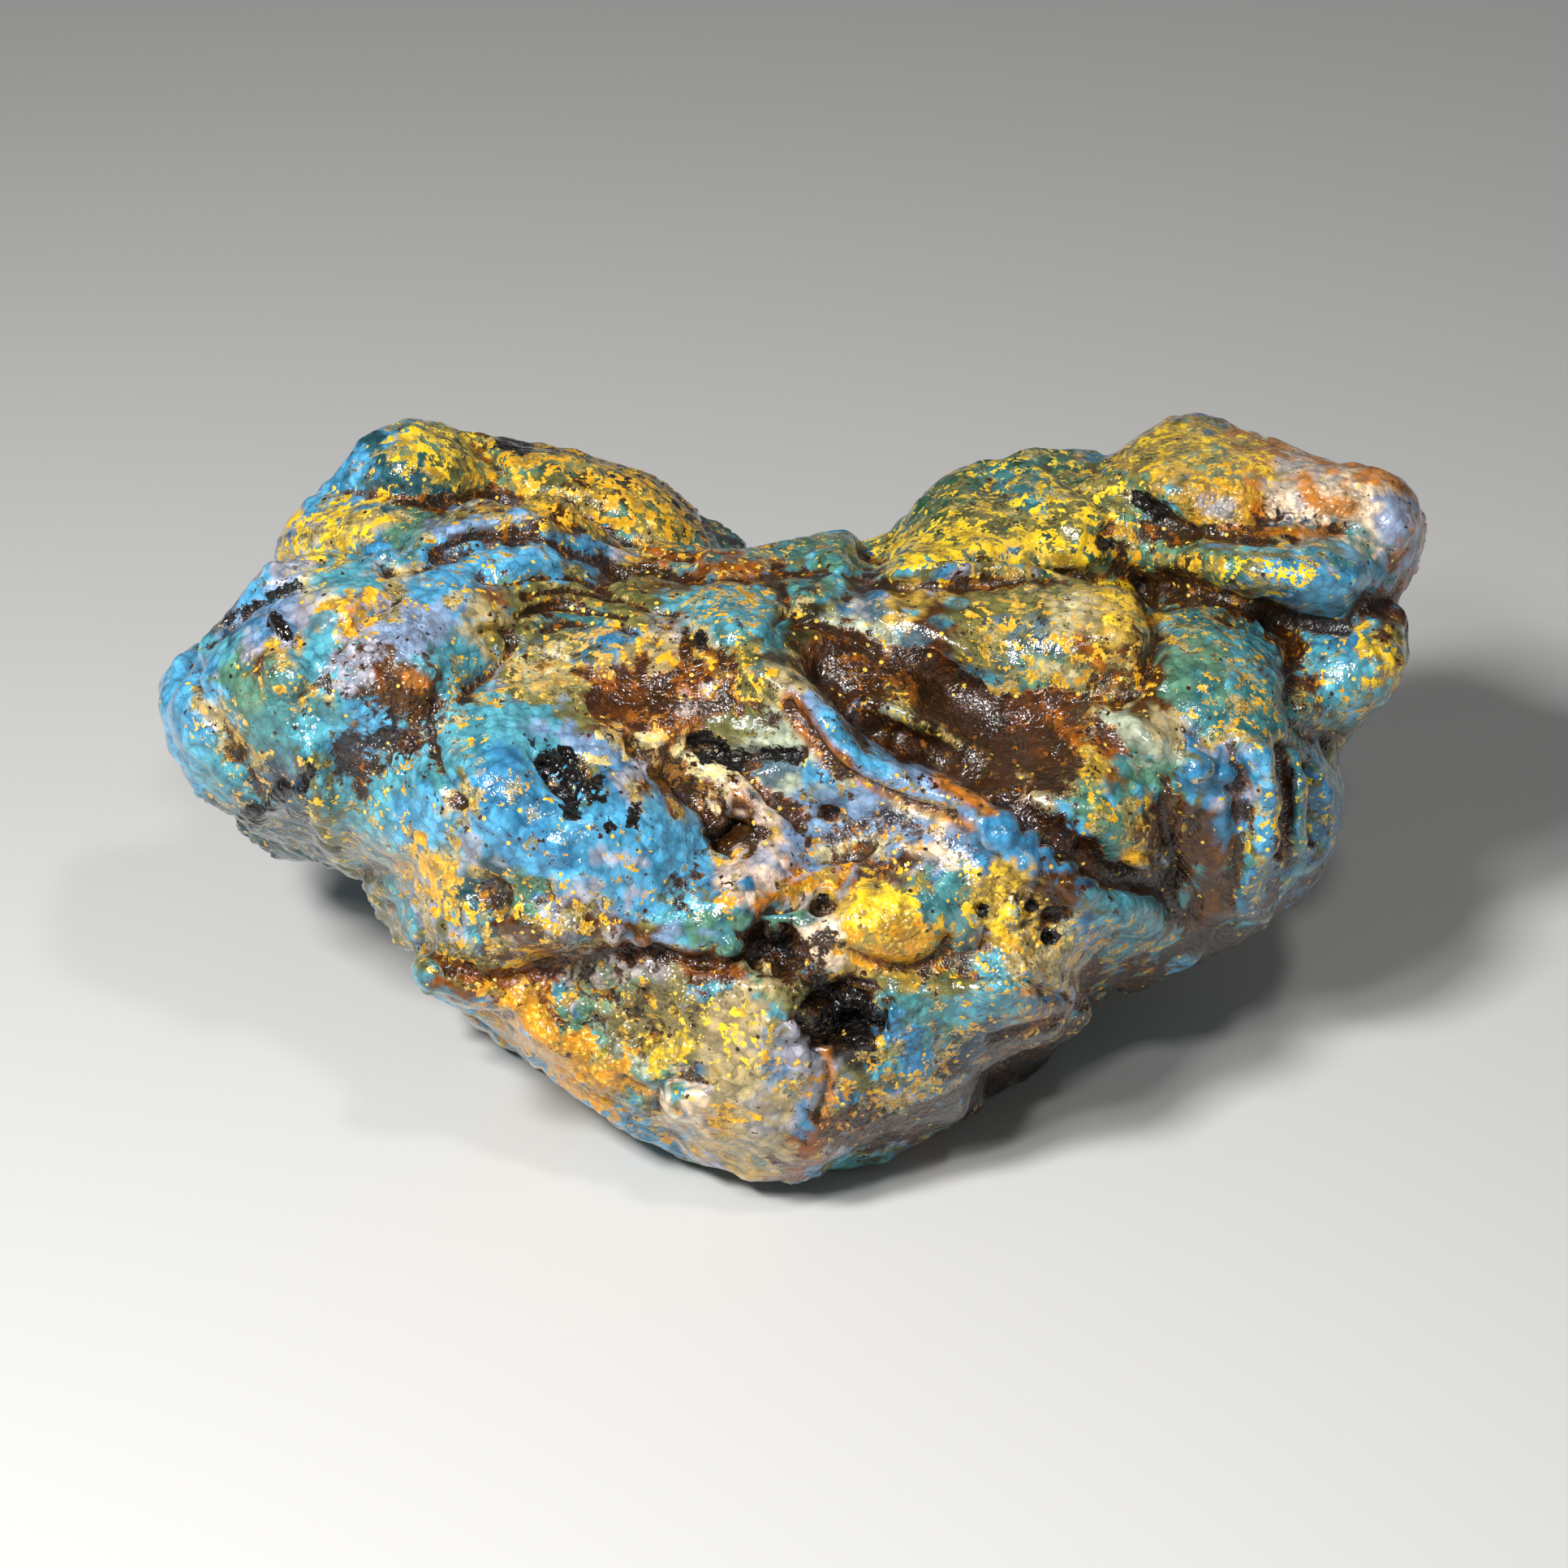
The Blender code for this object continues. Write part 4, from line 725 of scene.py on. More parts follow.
    ("cream", 1.3, ((-19, 9.4), (-16.6, 7.8))), ("cream", 0.8, ((22.4, 14.2), (21.6, 12.4))),
    ("slate", 0.9, ((18, 12.6), (19.6, 11))), ("cream", 0.7, ((19.8, 8.8), (22.6, 8.2))),
)


def granule_shift(points, size, reach):
    """One sideways shift for each granule this size, so that two colours meet in a jumble of granules."""
    centres = [noise.voronoi(place)[1][0] for place in (points / size).tolist()]
    return reach * np.array([noise.noise_vector(centre * 3.1)[:2] for centre in centres])


def touch(course, half_width, softness=0.3):
    """The points that a stroke covers, and how much of its colour each takes."""
    seen_places = seen if half_width < NARROW else seen_in_granules
    near, distance = near_path(seen_places, course, half_width * 1.5 + 1.5)
    strayed = distance + wander[near] * min(1.0, half_width / 1.6)
    share = smooth_step(half_width * 0.5 + softness, half_width * 0.5 - softness, strayed - half_width * 0.5)
    return near, share * seen_from_front[near]


NARROW = 0.9  # half width in mm under which a stroke keeps its course
ZONE_SIZES = ((13.0, 31.0, 0.75), (4.0, 33.0, 0.3))  # size in mm, shift and reach of the zones round the back
GRANULES = ((1.8, 2.4), (0.9, 1.3))  # size and shift of the granules, mm
dense_triangles = sum(len(face.vertices) - 2 for face in stone_mesh.polygons)
share_kept = min(1.0, MOST_TRIANGLES / dense_triangles)
stone_mesh = evaluated_mesh(stone_mesh, "stone_surface", (
    ("thin", "DECIMATE", {"ratio": share_kept, "use_collapse_triangulate": True}),
))
stone_mesh.shade_smooth()
points, normals = points_of(stone_mesh), normals_of(stone_mesh)
seen = seen_from_camera(points)
seen_from_front = smooth_step(-0.12, 0.05, facing_camera(points, normals))
wander = edge_wander(points)
seen_in_granules = seen + sum(granule_shift(points, size, reach) for size, reach in GRANULES)
zone_place = 0.5 + sum(grain(points, size, shift) * reach for size, shift, reach in ZONE_SIZES)
zone_place = np.clip(zone_place, 0.0, 0.999)
zone_colours = np.array([linear(AMBER_COLOURS[name]) for name in HIDDEN_ZONES])
resin = zone_colours[(zone_place * len(HIDDEN_ZONES)).astype(int)]
for colour, half_width, course in RUNS_OF_RESIN:
    near, share = touch(course, half_width)
    resin[near] += (np.array(linear(AMBER_COLOURS[colour])) - resin[near]) * share[:, None]

# The gold crust: a thin skin of weathered resin, yellow to orange, that has worn off in flecks and so
# shows the blue beneath. A patch is denser the nearer its cover is to 1.

CRUST_COLOURS = {
    "yellow": "#F2CA22", "gold": "#E2A51F", "orange": "#DA9012", "tan": "#C9A25E", "cream": "#E8D9A0",
}
CRUST_EVERYWHERE = 0.18  # the least cover
HIDDEN_CRUST = (11.0, 0.35)  # size in mm and most added cover of the patches round the back
BARE = (  # half width and course of the places with no crust
    (2.6, ((-46.8, 8), (-46.6, 4), (-45, 0.6))), (1.6, ((-33, 27), (-35, 23))),
    (4.4, ((-20, 1.4), (-16, -4), (-10, -5.2))), (2.4, ((-26.6, 14.6), (-25.6, 11.6))),
    (2.4, ((-24.4, 5), (-22, 2))), (1.8, ((39.6, 15), (43, 14.8))), (1.4, ((4, 4.6), (6.6, 1.6), (11, 0.2))),
    (1.4, ((36.6, 1.4), (37.2, -3))), (1.6, ((17.2, -4.4), (20.4, -6))), (1.6, ((-26.6, 16.8), (-22, 17.4))),
    (2.4, ((-28.4, -2.6), (-30.6, 1.6))), (1.8, ((36.2, 9.6), (36, 8))), (1.6, ((-14.2, 11.6), (-14, 9))),
    (2.4, ((38, 23), (42, 22.6), (46.6, 20))), (2.6, ((-37, 14), (-31, 12.6))),
    (3.0, ((2, -5), (8, -3), (13, -4.6))), (1.6, ((26, -9), (27, -10.6))),
    (2.0, ((10.4, -19.6), (12.6, -23))),
)
CRUST_PATCHES = (  # colour, cover, half width and course
    ("yellow", 0.62, 2.6, ((-28.6, 27), (-26, 25.6), (-24, 23.6))),
    ("yellow", 0.6, 2.6, ((-36, 18.8), (-32.6, 20.2))),
    ("gold", 0.6, 3.4, ((-19, 23.6), (-14, 22.6), (-9, 20.8))),
    ("yellow", 0.25, 1.4, ((-33.6, 24), (-31, 25.6))), ("gold", 0.4, 2.6, ((-28, 20.4), (-22, 21.6))),
    ("yellow", 0.4, 1.2, ((-19, 18.6), (-16.6, 18))),
    ("gold", 0.62, 1.6, ((-34.6, 13), (-32, 13.4), (-30.2, 14.4))),
    ("gold", 0.4, 2.6, ((-26, 15.6), (-18, 14.4))),
    ("gold", 0.4, 2.2, ((-20.6, 12.6), (-14, 13.4), (-9, 12.2))),
    ("tan", 0.6, 2.2, ((-19.6, 8.6), (-16.4, 8), (-15.4, 10.4))),
    ("gold", 0.5, 1.8, ((-38.8, 9.6), (-37.4, 7.2))),
    ("tan", 0.5, 1.6, ((-44.6, 6.4), (-42.6, 3.4), (-40, 0.4))), ("gold", 0.4, 2, ((-42, -1), (-38, -3.4))),
    ("yellow", 0.5, 1.2, ((-36.2, 0), (-35, -3.4), (-32, -8))),
    ("gold", 0.8, 1.4, ((-28.2, -5.6), (-26.2, -6.4), (-25.2, -8.2))),
    ("gold", 0.42, 3, ((-31, -1.6), (-28, -8))), ("tan", 0.55, 1.6, ((-24.4, -0.8), (-21.8, -1.2))),
    ("gold", 0.45, 1.8, ((-24, 8), (-24.6, 4))),
    ("orange", 0.95, 2.0, ((-20.6, -15), (-19.4, -18.6), (-17, -21), (-13.6, -22.8))),
    ("orange", 0.6, 1.8, ((-22.6, -16.8), (-21, -19))),
    ("gold", 0.5, 1.8, ((-28, -12), (-24, -13.6), (-20, -13.4))),
    ("gold", 0.45, 2.2, ((-24, -10), (-18, -9.6), (-14, -10.4))),
    ("cream", 0.6, 2.4, ((-12, 3.4), (-8, 2.6), (-5, 0.6))),
    ("gold", 0.5, 2.4, ((-11, 10), (-6, 9.6), (-2, 7.4))), ("orange", 0.5, 1.2, ((-12, 4.6), (-8.4, 4.8))),
    ("orange", 0.55, 1.0, ((-5.4, -5.6), (-2, -8.4), (-4.6, -8))),
    ("orange", 0.5, 1.4, ((1.6, -2.4), (7.6, -4.8), (12.6, -5))),
    ("orange", 0.5, 1.0, ((4.6, 0.8), (9.4, -0.6), (13.4, -1.8))), ("gold", 0.35, 3, ((-18, -4), (-10, -8))),
    ("gold", 0.45, 2, ((-6, 14.6), (0, 13.4))), ("gold", 0.45, 1.6, ((-7, 17.4), (0, 18), (6, 18.2))),
    ("yellow", 0.72, 1.8, ((8, 17.8), (14, 18), (20, 18.4), (23.6, 18.4))),
    ("yellow", 0.48, 4.6, ((12, 22), (18, 22.4), (23, 21))),
    ("tan", 0.42, 2.6, ((17, 14.6), (22, 13.6), (25.4, 12.4))),
    ("yellow", 0.75, 1.4, ((25.6, 14.6), (26.8, 12.4))), ("gold", 0.5, 3, ((17, 11.6), (21, 9), (25, 7.6))),
    ("gold", 0.4, 2, ((6, 6.4), (12, 4), (17, 1.6))), ("gold", 0.45, 1.2, ((4, 12.6), (8, 11.4))),
    ("gold", 0.45, 2.4, ((29, 12.4), (33, 11), (36, 7))),
    ("yellow", 0.55, 2.6, ((28, 26.4), (32, 25.4), (35, 24.6))), ("gold", 0.4, 2, ((30, 22.4), (34, 23))),
    ("yellow", 0.6, 1.8, ((32.4, 16.6), (36, 16.4), (38.4, 16.2))),
    ("yellow", 0.32, 1.6, ((39, 17.6), (43, 16.6))), ("gold", 0.5, 2, ((26, 18.4), (31, 17.6))),
    ("yellow", 0.75, 1.6, ((45.4, 10.8), (46.8, 9.2))),
    ("gold", 0.45, 2.4, ((40.4, 10), (41.6, 6.6), (44, 5.8))), ("gold", 0.45, 2.2, ((33, 6), (37, 4))),
    ("gold", 0.45, 2, ((22.6, 2.4), (24.6, -2.2), (28, -3))),
    ("yellow", 0.45, 1.6, ((36.6, 0.6), (37, -4), (36, -8.4))), ("yellow", 0.4, 1.8, ((40, 1), (41, -4))),
    ("gold", 0.8, 0.9, ((26.2, -5.6), (28, -6.2))), ("yellow", 0.6, 2.4, ((15.6, -8.6), (18.4, -11))),
    ("gold", 0.45, 2.4, ((18, -13.8), (23, -12.6), (27, -13.2))),
    ("gold", 0.42, 2.4, ((12, -14), (18, -17), (23, -16.6))),
    ("yellow", 1.0, 2.4, ((7.2, -10), (8.8, -10.6))),
    ("orange", 0.7, 1.2, ((5.2, -12.6), (8, -13.2), (10.6, -12.6))),
    ("orange", 0.8, 0.9, ((-0.6, -8.6), (2, -7.4), (4.8, -6.9))),
    ("gold", 0.45, 2.4, ((-14, -16), (-9, -18))), ("yellow", 0.7, 1.4, ((-9.4, -20), (-8.4, -21.8))),
    ("yellow", 0.5, 2.4, ((-6, -17), (-3, -19.6))), ("orange", 0.5, 1.6, ((-11, -24.6), (-8.6, -27))),
    ("gold", 0.6, 1.6, ((-6, -27.6), (-4.4, -25.4))),
    ("orange", 0.5, 1.4, ((0, -22.6), (3.6, -23.4), (5, -26.4))),
    ("gold", 0.5, 2, ((7, -20.6), (8.4, -23.6), (11.6, -22.2))),
    ("gold", 0.42, 1.8, ((12, -19.4), (15, -18.6))),
)

crust = np.tile(linear(CRUST_COLOURS["gold"]), (len(points), 1))
size, most = HIDDEN_CRUST
cover = CRUST_EVERYWHERE + most * np.clip(grain(points, size, 41.0), 0, 1) * (1 - seen_from_front)
for half_width, course in BARE:
    near, share = touch(course, half_width * 1.2, 1.2)
    cover[near] *= 1 - share
for colour, amount, half_width, course in CRUST_PATCHES:
    near, share = touch(course, half_width * 1.15, 1.2)
    crust[near] += (np.array(linear(CRUST_COLOURS[colour])) - crust[near]) * share[:, None]
    cover[near] = np.maximum(cover[near], amount * share)

# Iron rust and earth: brown and orange stain that ground water brought into the cracks. On top of the stain,
# the hollows are painted darker as painted shade, so the surface is darkest down in the hollows.

STAINS = (  # colour, amount, half width and course
    ("brown", 0.5, 0.8, ((-31, 22.2), (-26, 21.8), (-21, 21.3), (-15, 19.6))),
    ("brown", 0.5, 0.6, ((-27, 18), (-24, 19.2), (-20.5, 19.2), (-17, 18.2), (-12, 16.6))),
    ("brown", 0.5, 3.2, ((-31, 7.6), (-29, 6.5), (-29.5, 3.6))),
    ("brown", 0.5, 1.2, ((-27, 6), (-27, 2), (-25, -2))),
    ("rust", 0.8, 2.4, ((-12.6, 6.4), (-8, 6.2), (-5.5, 7.4))),
    ("rust", 0.7, 1.2, ((-11, 2), (-8.4, 0.4), (-6, -1.6))), ("brown", 0.8, 1.4, ((-5, -2.8), (-3.6, -4.8))),
    ("brown", 0.9, 1.5, ((3.2, 7.8), (7, 5), (12, 2.4), (17, -0.6))),
    ("brown", 1.0, 1.2, ((16, -0.4), (21, -4.2), (25.4, -7), (29.4, -8.4))),
    ("rust", 0.7, 2.2, ((18.6, 5.8), (24, 3.4))), ("rust", 0.6, 2.2, ((4, 10.6), (9, 8.6), (13, 6.2))),
    ("rust", 0.6, 0.9, ((0.4, 6.4), (2.4, 3.4), (4.8, 1.2))),
    ("brown", 0.6, 2.4, ((31, -3), (32, -7), (31.5, -10.6))),
    ("brown", 0.55, 0.9, ((28, 14.6), (32, 14.4), (38, 12.8))),
    ("brown", 0.45, 0.8, ((24.6, 20.6), (26, 18.6), (31, 19.4), (38, 19.2))),
    ("brown", 0.6, 1.0, ((38.8, 12), (39.2, 8), (41, 3.8))),
    ("rust", 0.6, 1.2, ((48.6, 17), (46.8, 14.8), (46.6, 12.6))),
    ("brown", 0.5, 0.8, ((-13, 16.4), (0, 16.4), (10, 15.4), (22, 16))),
    ("rust", 0.8, 0.8, ((-27, -14), (-22, -14.9), (-16.6, -13.8), (-11, -12.7), (-5, -14))),
    ("brown", 1.0, 1.8, ((-1.6, -11.4), (-0.4, -13.6), (1.2, -12.6))),
    ("brown", 0.8, 1.2, ((1, -16.6), (4, -15.4), (7.6, -15.8))),
    ("rust", 0.7, 1.2, ((16, -19.8), (20, -18.6), (25, -16.2))),
    ("rust", 0.7, 1.4, ((0, -29.4), (3, -27), (6, -26))),
    ("brown", 0.7, 1.6, ((5, -27), (10, -26.2), (15, -24))),
    ("brown", 0.8, 2.0, ((41.4, -8.4), (36, -12.4), (28, -15.6))),
    ("brown", 0.6, 1.4, ((19.4, -9), (23.4, -8.6))), ("rust", 0.5, 1.4, ((12.6, 12.6), (11.6, 9.6))),
    ("brown", 0.6, 1.0, ((38.4, 2), (38.6, -2), (38.2, -5.4))),
    ("rust", 0.5, 1.2, ((-24, -16.2), (-20, -16.6))),
    ("brown", 0.4, 2.2, ((-20, 14), (-14, 14.6), (-9, 13.6))),
    # the two brown stains on the next line, in the basin, are partly brown stain and partly painted shade of
    # the deep basin
    ("brown", 0.8, 2.4, ((5, 9.4), (10, 7), (13, 5.6))), ("brown", 1.0, 2.2, ((14, 4.6), (18, 2), (21, 0.4))),
    ("brown", 0.42, 1.6, ((-11.6, 2.6), (-8.4, 2.2), (-6, 1.0))),
    ("rust", 0.7, 0.8, ((-5.6, 1.6), (-2, -1), (1.4, -3.6))),
)
HIDDEN_STAIN = (8.0, 0.5)  # size in mm and most stain of the patches round the back
STAIN_COLOURS = {"brown": "#5A3206", "rust": "#AA5A08"}

stain_colour = np.tile(linear(STAIN_COLOURS["brown"]), (len(points), 1))
size, most = HIDDEN_STAIN
stain = most * np.clip(grain(points, size, 51.0), 0, 1) * (1 - seen_from_front)
for colour, amount, half_width, course in STAINS:
    near, share = touch(course, half_width * 1.2, 0.9)
    stain_colour[near] += (np.array(linear(STAIN_COLOURS[colour])) - stain_colour[near]) * share[:, None]
    stain[near] = np.maximum(stain[near], amount * share)

# Carbon: bits of charred wood and coal that stuck to the resin while it was soft. They are black and
# glossy, and their edges are crisp where those of a stain are soft.

CARBON = (  # half width and course
    (1.0, ((-18.4, 2.0), (-16.5, 1.0), (-15.6, -0.8))), (0.5, ((-39.3, 12.6), (-38.3, 11.8))),
    (0.2, ((-43, 12.6), (-40.6, 13.8), (-37.4, 15.4))), (0.9, ((-37.3, -1.2), (-37.6, -0.4))),
    (0.6, ((-38.9, -0.7), (-38.6, -0.5))), (0.6, ((-41.2, -2.6), (-40.6, -2.4))),
    (0.8, ((-6.6, 3), (-4.6, 2.2), (-2.8, 2.1))), (0.4, ((-1.4, 2.3), (0.8, 2.2))),
    (0.8, ((3.2, -18), (5.4, -19.3), (6.2, -17))), (0.35, ((-6.3, 11.3), (-6.2, 11.2))),
    (0.5, ((27.5, 21.8), (29, 21))), (0.5, ((24.4, 18.6), (24.8, 18.4))),
    (0.3, ((-0.8, -11.6), (0.4, -13.2))), (0.4, ((-13.6, -3.3), (-13.4, -3.4))),
    (0.35, ((-11.7, -3), (-11.4, -1.8))), (0.3, ((-14, -1.2), (-13.8, -1.3))), (0.4, ((3, -9.1), (3.1, -9))),
    (0.35, ((15.2, -9.7), (15.3, -9.6))), (0.3, ((19, -9.4), (19.1, -9.3))),
    (0.4, ((20.4, -11.8), (20.6, -11.8))), (0.3, ((-36.6, 0.6), (-36.4, 0.7))),
    (0.5, ((-21.4, 26.4), (-20, 26))),
)

carbon = np.zeros(len(points))
for half_width, course in CARBON:
    near, share = touch(course, half_width * 1.2, 0.9)
    carbon[near] = np.maximum(carbon[near], share)

# The clear resin: honey to lavender windows in the crust, where light goes in and comes out again. They
# are the parts that break up into small glassy crystals, so they sparkle most.

WINDOWS = (  # how clear, half width and course
    (0.9, 3.4, ((30, 25), (36, 24), (42, 23), (47, 20))), (0.7, 3.0, ((-36, 14), (-31, 12.6), (-28, 11.6))),
    (0.3, 3.0, ((6.4, -10.4), (9, -10.8))), (0.8, 2.2, ((-15, -15), (-9, -15.6), (-7, -17))),
    (0.7, 2.2, ((-7.6, -24.6), (-7.4, -24.4))), (0.8, 2.4, ((-13, -17.6), (-9, -19.4), (-4, -19))),
    (0.6, 2.4, ((-2, -25.4), (1.4, -21.4))), (0.7, 1.6, ((13.8, -11.4), (11.4, -10))),
    (0.6, 2.0, ((16.6, -8.6), (18.4, -11))), (0.5, 2.0, ((-3, -6.5), (3, -5))),
    (0.5, 1.6, ((25.6, 4.6), (28, 3))), (0.6, 2.0, ((-38.8, 9), (-37.6, 7.6))),
    (0.5, 1.6, ((10, 13.6), (13, 11))), (0.5, 1.5, ((-9, 12), (-5, 6))),
)
HIDDEN_WINDOWS = (9.0, 0.5)  # size in mm and most clearness of the windows round the back

size, most = HIDDEN_WINDOWS
clear = most * smooth_step(0.2, 0.5, grain(points, size, 61.0)) * (1 - seen_from_front)
for amount, half_width, course in WINDOWS:
    near, share = touch(course, half_width, 1.2)
    clear[near] = np.maximum(clear[near], amount * share)
glitter = patch_weight(seen, SPARKLING) * seen_from_front + (1 - seen_from_front) * hidden_crystals(points)

# How deep each point lies in a small and in a wide hollow: the material uses it to paint shade into the
# hollows.
HOLLOWS = ((8, 0.12), (60, 0.7))  # rounds of smoothing, and the depth in mm that counts as 1


def hollowness(mesh, points, normals, rounds):
    """How far each point lies below the smoothed surface around it, in millimetres."""
    ends = np.empty(len(mesh.edges) * 2, np.int32)
    mesh.edges.foreach_get("vertices", ends)
    ends = ends.reshape(-1, 2)
    count = np.bincount(ends.ravel(), minlength=len(points))[:, None]
    smoothed = points
    for _ in range(rounds):
        summed = np.column_stack([
            np.bincount(ends[:, 0], smoothed[ends[:, 1], axis], len(points))
            + np.bincount(ends[:, 1], smoothed[ends[:, 0], axis], len(points))
            for axis in range(3)
        ])
        smoothed = 0.4 * smoothed + 0.6 * summed / count
    return ((smoothed - points) * normals).sum(axis=1)


near_hollow, wide_hollow = (
    np.clip(hollowness(stone_mesh, points, normals, rounds) / deepest, -1, 1) for rounds, deepest in HOLLOWS
)


def store(mesh, name, values):
    """Keeps a number or a colour for each point of the mesh, for the material to read."""
    if values.ndim == 2:
        layer = mesh.color_attributes.new(name, "FLOAT_COLOR", "POINT")
        layer.data.foreach_set("color", np.column_stack([values, np.ones(len(values))]).ravel())
    else:
        layer = mesh.attributes.new(name, "FLOAT", "POINT")
        layer.data.foreach_set("value", values)


for name, values in (
    ("resin", resin), ("crust", crust), ("cover", cover), ("stain_colour", stain_colour), ("stain", stain),
    ("carbon", carbon), ("clear", clear), ("glitter", glitter), ("near_hollow", near_hollow),
    ("wide_hollow", wide_hollow),
):
    store(stone_mesh, name, values)

# The surface itself: rough amber rubbed with oil, which brings its colours out. Under the thin, smooth film
# is resin mottled like frosted glass, flecks of gold crust with hard edges, stain with painted shade in the
# hollows, and carbon.

AMBER_IOR, OIL_IOR = 1.54, 1.47
OILED_SPECULAR = 0.15  # amber under a film of oil reflects far less than dry amber does
FILM_ROUGHNESS = 0.05
AMBER_ROUGHNESS, CRUST_ROUGHNESS = 0.32, 0.48
MOST_TRANSMISSION = 0.12  # in the clearest windows, because the rest of the stone is opaque
STORED_COLOURS = ("resin", "crust", "stain_colour")
STORED_NUMBERS = ("cover", "stain", "carbon", "clear", "glitter", "near_hollow", "wide_hollow")
SPECKLES = {  # size of the lumps in mm, detail, roughness and shift of each noise
    "mottle": (2.0, 4.0, 0.65, 3.0), "fine": (0.45, 2.0, 0.6, 9.0), "fleck": (1.05, 3.0, 0.7, 31.0),
    "ochre": (0.5, 3.0, 0.7, 17.0),
}
CELLS = {"grain": 0.85, "dots": 0.95, "facets": 0.45}  # width in mm of each set of round cells
MIXTURES = (
    # a SUM of things, each times a factor, or a PRODUCT of steps that go from 0 at one value to 1 at another
    ("shade", "SUM", (("grain_red", 0.5), ("mottle", -1.6))),
    ("glow", "SUM", (("grain_green", 0.4), ("fine", 1.0))),
    ("ground", "SUM", (("cover", 0.35), ("clear", -0.05), ("mottle", 1.0), ("fine", 0.3))),
    # stain plus the depth of the hollows: the hollow terms are painted shade, darker the deeper a point lies
    ("stain_and_hollow_shade", "SUM", (
        ("stain", 1.0), ("wide_hollow", 0.4), ("near_hollow", 0.35), ("mottle", 1.3), ("fine", 0.9),
    )),
    ("stain_and_shade_share", "PRODUCT", (("stain_and_hollow_shade", 1.45, 1.85),)),
    ("crusted", "SUM", (("cover", 0.45), ("fleck", 1.0), ("fine", 0.25))),
    ("flecks", "PRODUCT", (("crusted", 0.893, 0.915),)),
    ("gold_chance", "SUM", (("dots_red", 1.0), ("cover", 0.5), ("stain", 0.2))),
    ("gold_dots", "PRODUCT", (("dots", 0.22, 0.16), ("gold_chance", 0.92, 0.94))),
    ("dark_chance", "SUM", (("dots_green", 1.0), ("stain", 0.15))),
    ("dark_dots", "PRODUCT", (("dots", 0.24, 0.16), ("dark_chance", 0.92, 0.94))),
    ("speckled", "SUM", (("fleck", 1.0), ("stain", -0.12), ("fine", 0.3))),
    ("dark_specks", "PRODUCT", (("speckled", 0.475, 0.46), ("flecks", 1.0, 0.0))),
    ("charred", "SUM", (("carbon", 1.0), ("fine", 0.8), ("mottle", 0.8))),
    ("coal", "PRODUCT", (("charred", 1.22, 1.30),)),
    ("bare_clear", "PRODUCT", (("clear", 0.0, 1.0), ("flecks", 1.0, 0.0))),
    ("stain_grit", "PRODUCT", (("stain_and_shade_share", 0.0, 1.0), ("fine", 0.0, 1.0))),
    ("crystal_faces", "PRODUCT", (("glitter", 0.0, 1.0), ("facets", 0.0, 1.0))),
    ("coal_clumps", "PRODUCT", (("coal", 0.0, 1.0), ("grain", 0.0, 1.0))),
    ("relief", "SUM", (  # mm
        ("fine", 0.09), ("grain", -0.05), ("stain_grit", 0.14), ("crystal_faces", -0.18),
        ("coal_clumps", -0.45),
    )),
)
LAYERS = (
    # a colour, and those laid over it: how, what, where, the values where it starts and is full, and how much
    ("ground_tone", "#857A3E", (
        ("MIX", "#CDB478", "fleck", 0.49, 0.53, 1.0),
        ("MIX", "#4A3A1C", "fine", 0.54, 0.60, 1.0),
    )),
    ("stain_tone", "stain_colour", (
        ("MIX", "#1E1006", "mottle", 0.42, 0.56, 0.85),
        ("MIX", "#B47C16", "ochre", 0.58, 0.64, 0.8),
    )),
    ("crust_tone", "crust", (
        ("MIX", "#86621F", "mottle", 0.47, 0.60, 0.8),
        ("MIX", "#F6D856", "fine", 0.54, 0.66, 0.7),
        # the crust is darkened by stain and by painted shade in the hollows
        ("MULTIPLY", "#9A7444", "stain_and_shade_share", 0.3, 1.0, 1.0),
    )),
    ("surface", "resin", (
        ("MULTIPLY", "#A4A9AB", "shade", -0.72, -0.30, 0.8),
        ("DODGE", "#A2A2A2", "glow", 0.72, 0.90, 0.7),
        ("MULTIPLY", "#7F8F99", "grain", 0.40, 0.75, 0.5),
        ("SCREEN", "#846446", "clear", 0.5, 1.0, 0.6),
        ("MIX", "ground_tone", "ground", 0.84, 0.88, 0.8),
        # stain and painted shade: the next two layers darken the stain and the hollows, and #1A0D05 is
        # painted shade where a hollow is deepest
        ("MIX", "stain_tone", "stain_and_shade_share", 0.0, 0.6, 0.85),
        ("MIX", "#1A0D05", "stain_and_shade_share", 0.6, 1.0, 0.75),
        ("MIX", "crust_tone", "flecks", 0.0, 1.0, 1.0),
        ("MIX", "#E6C34C", "gold_dots", 0.0, 1.0, 1.0),
        ("MIX", "#33221A", "dark_dots", 0.0, 1.0, 1.0),
        ("MIX", "#3A1D0C", "dark_specks", 0.0, 1.0, 1.0),
        ("MIX", "#14110F", "coal", 0.0, 1.0, 1.0),
    )),
)

amber, tree, shader = new_material("blue_amber_oiled_rough")
in_metres = add_node(tree, "ShaderNodeTexCoord").outputs["Object"]
to_millimetres = {"operation": "SCALE", "Scale": 1 / MM}
place = add_node(tree, "ShaderNodeVectorMath", to_millimetres, {0: in_metres}).outputs[0]
value = {}  # the socket that gives each thing
for name in STORED_COLOURS + STORED_NUMBERS:
    stored = add_node(tree, "ShaderNodeAttribute", {"attribute_name": name})
    value[name] = stored.outputs["Color" if name in STORED_COLOURS else "Fac"]
for name, (size, detail, roughness, shift) in SPECKLES.items():
    moved = add_node(tree, "ShaderNodeVectorMath", {"operation": "ADD", 1: (shift, shift, shift)}, {0: place})
    settings = {"Scale": 1 / size, "Detail": detail, "Roughness": roughness}
    value[name] = add_node(tree, "ShaderNodeTexNoise", settings, {"Vector": moved.outputs[0]}).outputs["Fac"]
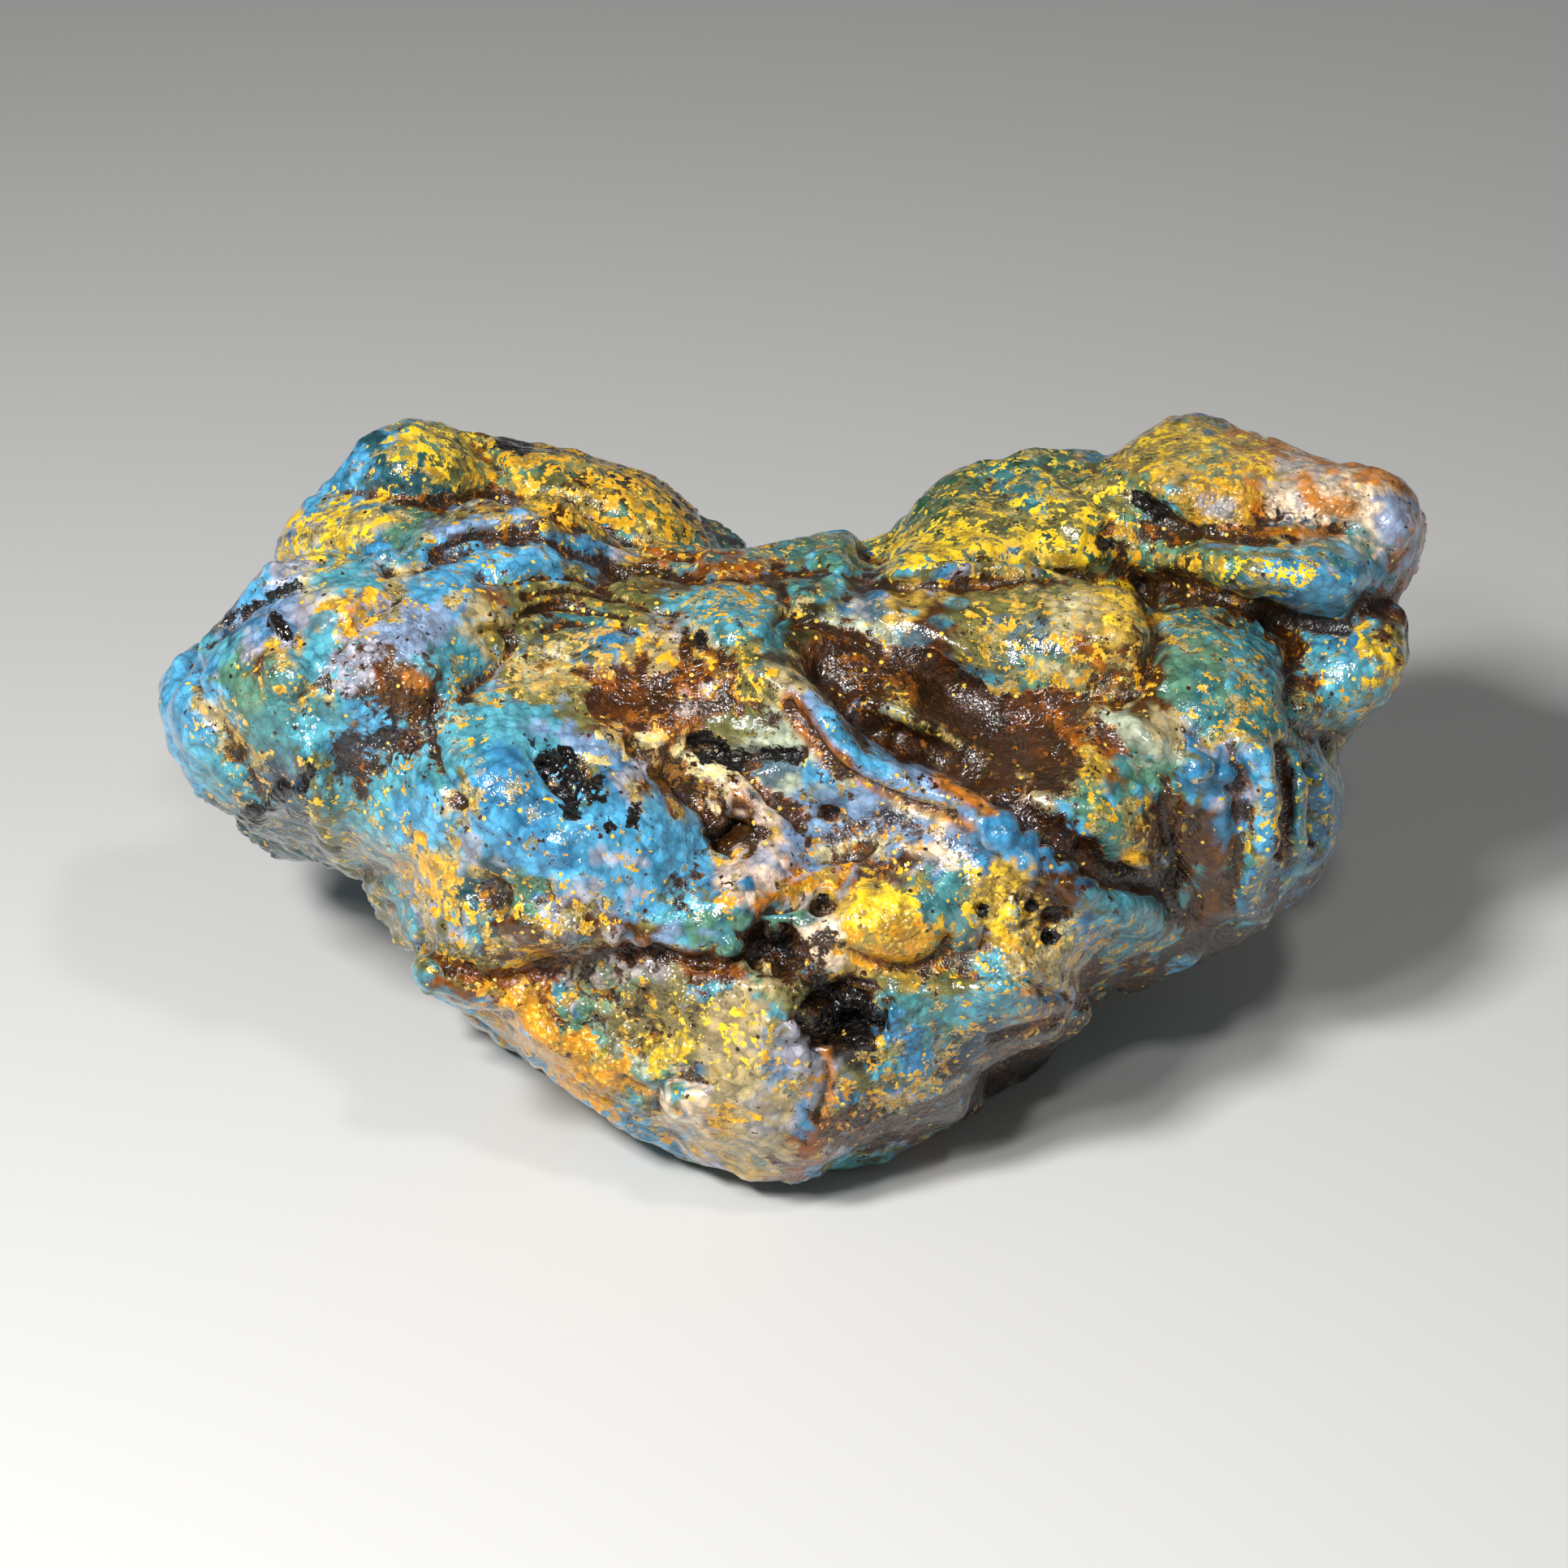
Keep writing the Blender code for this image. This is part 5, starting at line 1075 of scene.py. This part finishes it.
for name, width in CELLS.items():
    cells = add_node(tree, "ShaderNodeTexVoronoi", {"Scale": 1 / width}, {"Vector": place})
    random = add_node(tree, "ShaderNodeSeparateColor", links={0: cells.outputs["Color"]})
    value[name] = cells.outputs["Distance"]
    value[name + "_red"], value[name + "_green"] = random.outputs[0], random.outputs[1]
for name, kind, rows in MIXTURES:
    made = None
    for source, *numbers in rows:
        if kind == "SUM":
            links = {0: value[source]} if made is None else {0: value[source], 2: made}
            settings = {"operation": "MULTIPLY_ADD", 1: numbers[0], 2: 0.0}
            made = add_node(tree, "ShaderNodeMath", settings, links).outputs[0]
        else:
            settings = {1: numbers[0], 2: numbers[1]}
            share = add_node(tree, "ShaderNodeMapRange", settings, {0: value[source]}).outputs[0]
            if made is not None:
                links = {0: made, 1: share}
                share = add_node(tree, "ShaderNodeMath", {"operation": "MULTIPLY"}, links).outputs[0]
            made = share
    value[name] = made
for name, base, rows in LAYERS:
    colour = value.get(base, base)
    for kind, over, source, low, high, most in rows:
        share = add_node(tree, "ShaderNodeMapRange", {1: low, 2: high, 4: most}, {0: value[source]})
        settings, links = {"data_type": "RGBA", "blend_type": kind}, {0: share.outputs[0]}
        for socket, tone in ((6, colour), (7, value.get(over, over))):
            if isinstance(tone, str):
                settings[socket] = (*linear(tone), 1.0)
            else:
                links[socket] = tone
        colour = add_node(tree, "ShaderNodeMix", settings, links).outputs[2]
    value[name] = colour

bump = add_node(tree, "ShaderNodeBump", {"Strength": 1.0, "Distance": MM}, {"Height": value["relief"]})
rough_range = {3: AMBER_ROUGHNESS, 4: CRUST_ROUGHNESS}
roughness = add_node(tree, "ShaderNodeMapRange", rough_range, {0: value["flecks"]})
see_through = add_node(tree, "ShaderNodeMapRange", {4: MOST_TRANSMISSION}, {0: value["bare_clear"]})
for socket, source in (
    ("Base Color", value["surface"]), ("Roughness", roughness.outputs[0]), ("Normal", bump.outputs[0]),
    ("Coat Normal", bump.outputs[0]), ("Transmission Weight", see_through.outputs[0]),
):
    tree.links.new(source, shader.inputs[socket])
shader.inputs["IOR"].default_value = AMBER_IOR
shader.inputs["Specular IOR Level"].default_value = OILED_SPECULAR
shader.inputs["Coat Weight"].default_value = 1.0
shader.inputs["Coat Roughness"].default_value = FILM_ROUGHNESS
shader.inputs["Coat IOR"].default_value = OIL_IOR

stone = bpy.data.objects.new("amber_surface", stone_mesh)
bpy.context.scene.collection.objects.link(stone)
stone_mesh.materials.clear()
stone_mesh.materials.append(amber)
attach(stone, "root")
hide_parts("amber_lump")
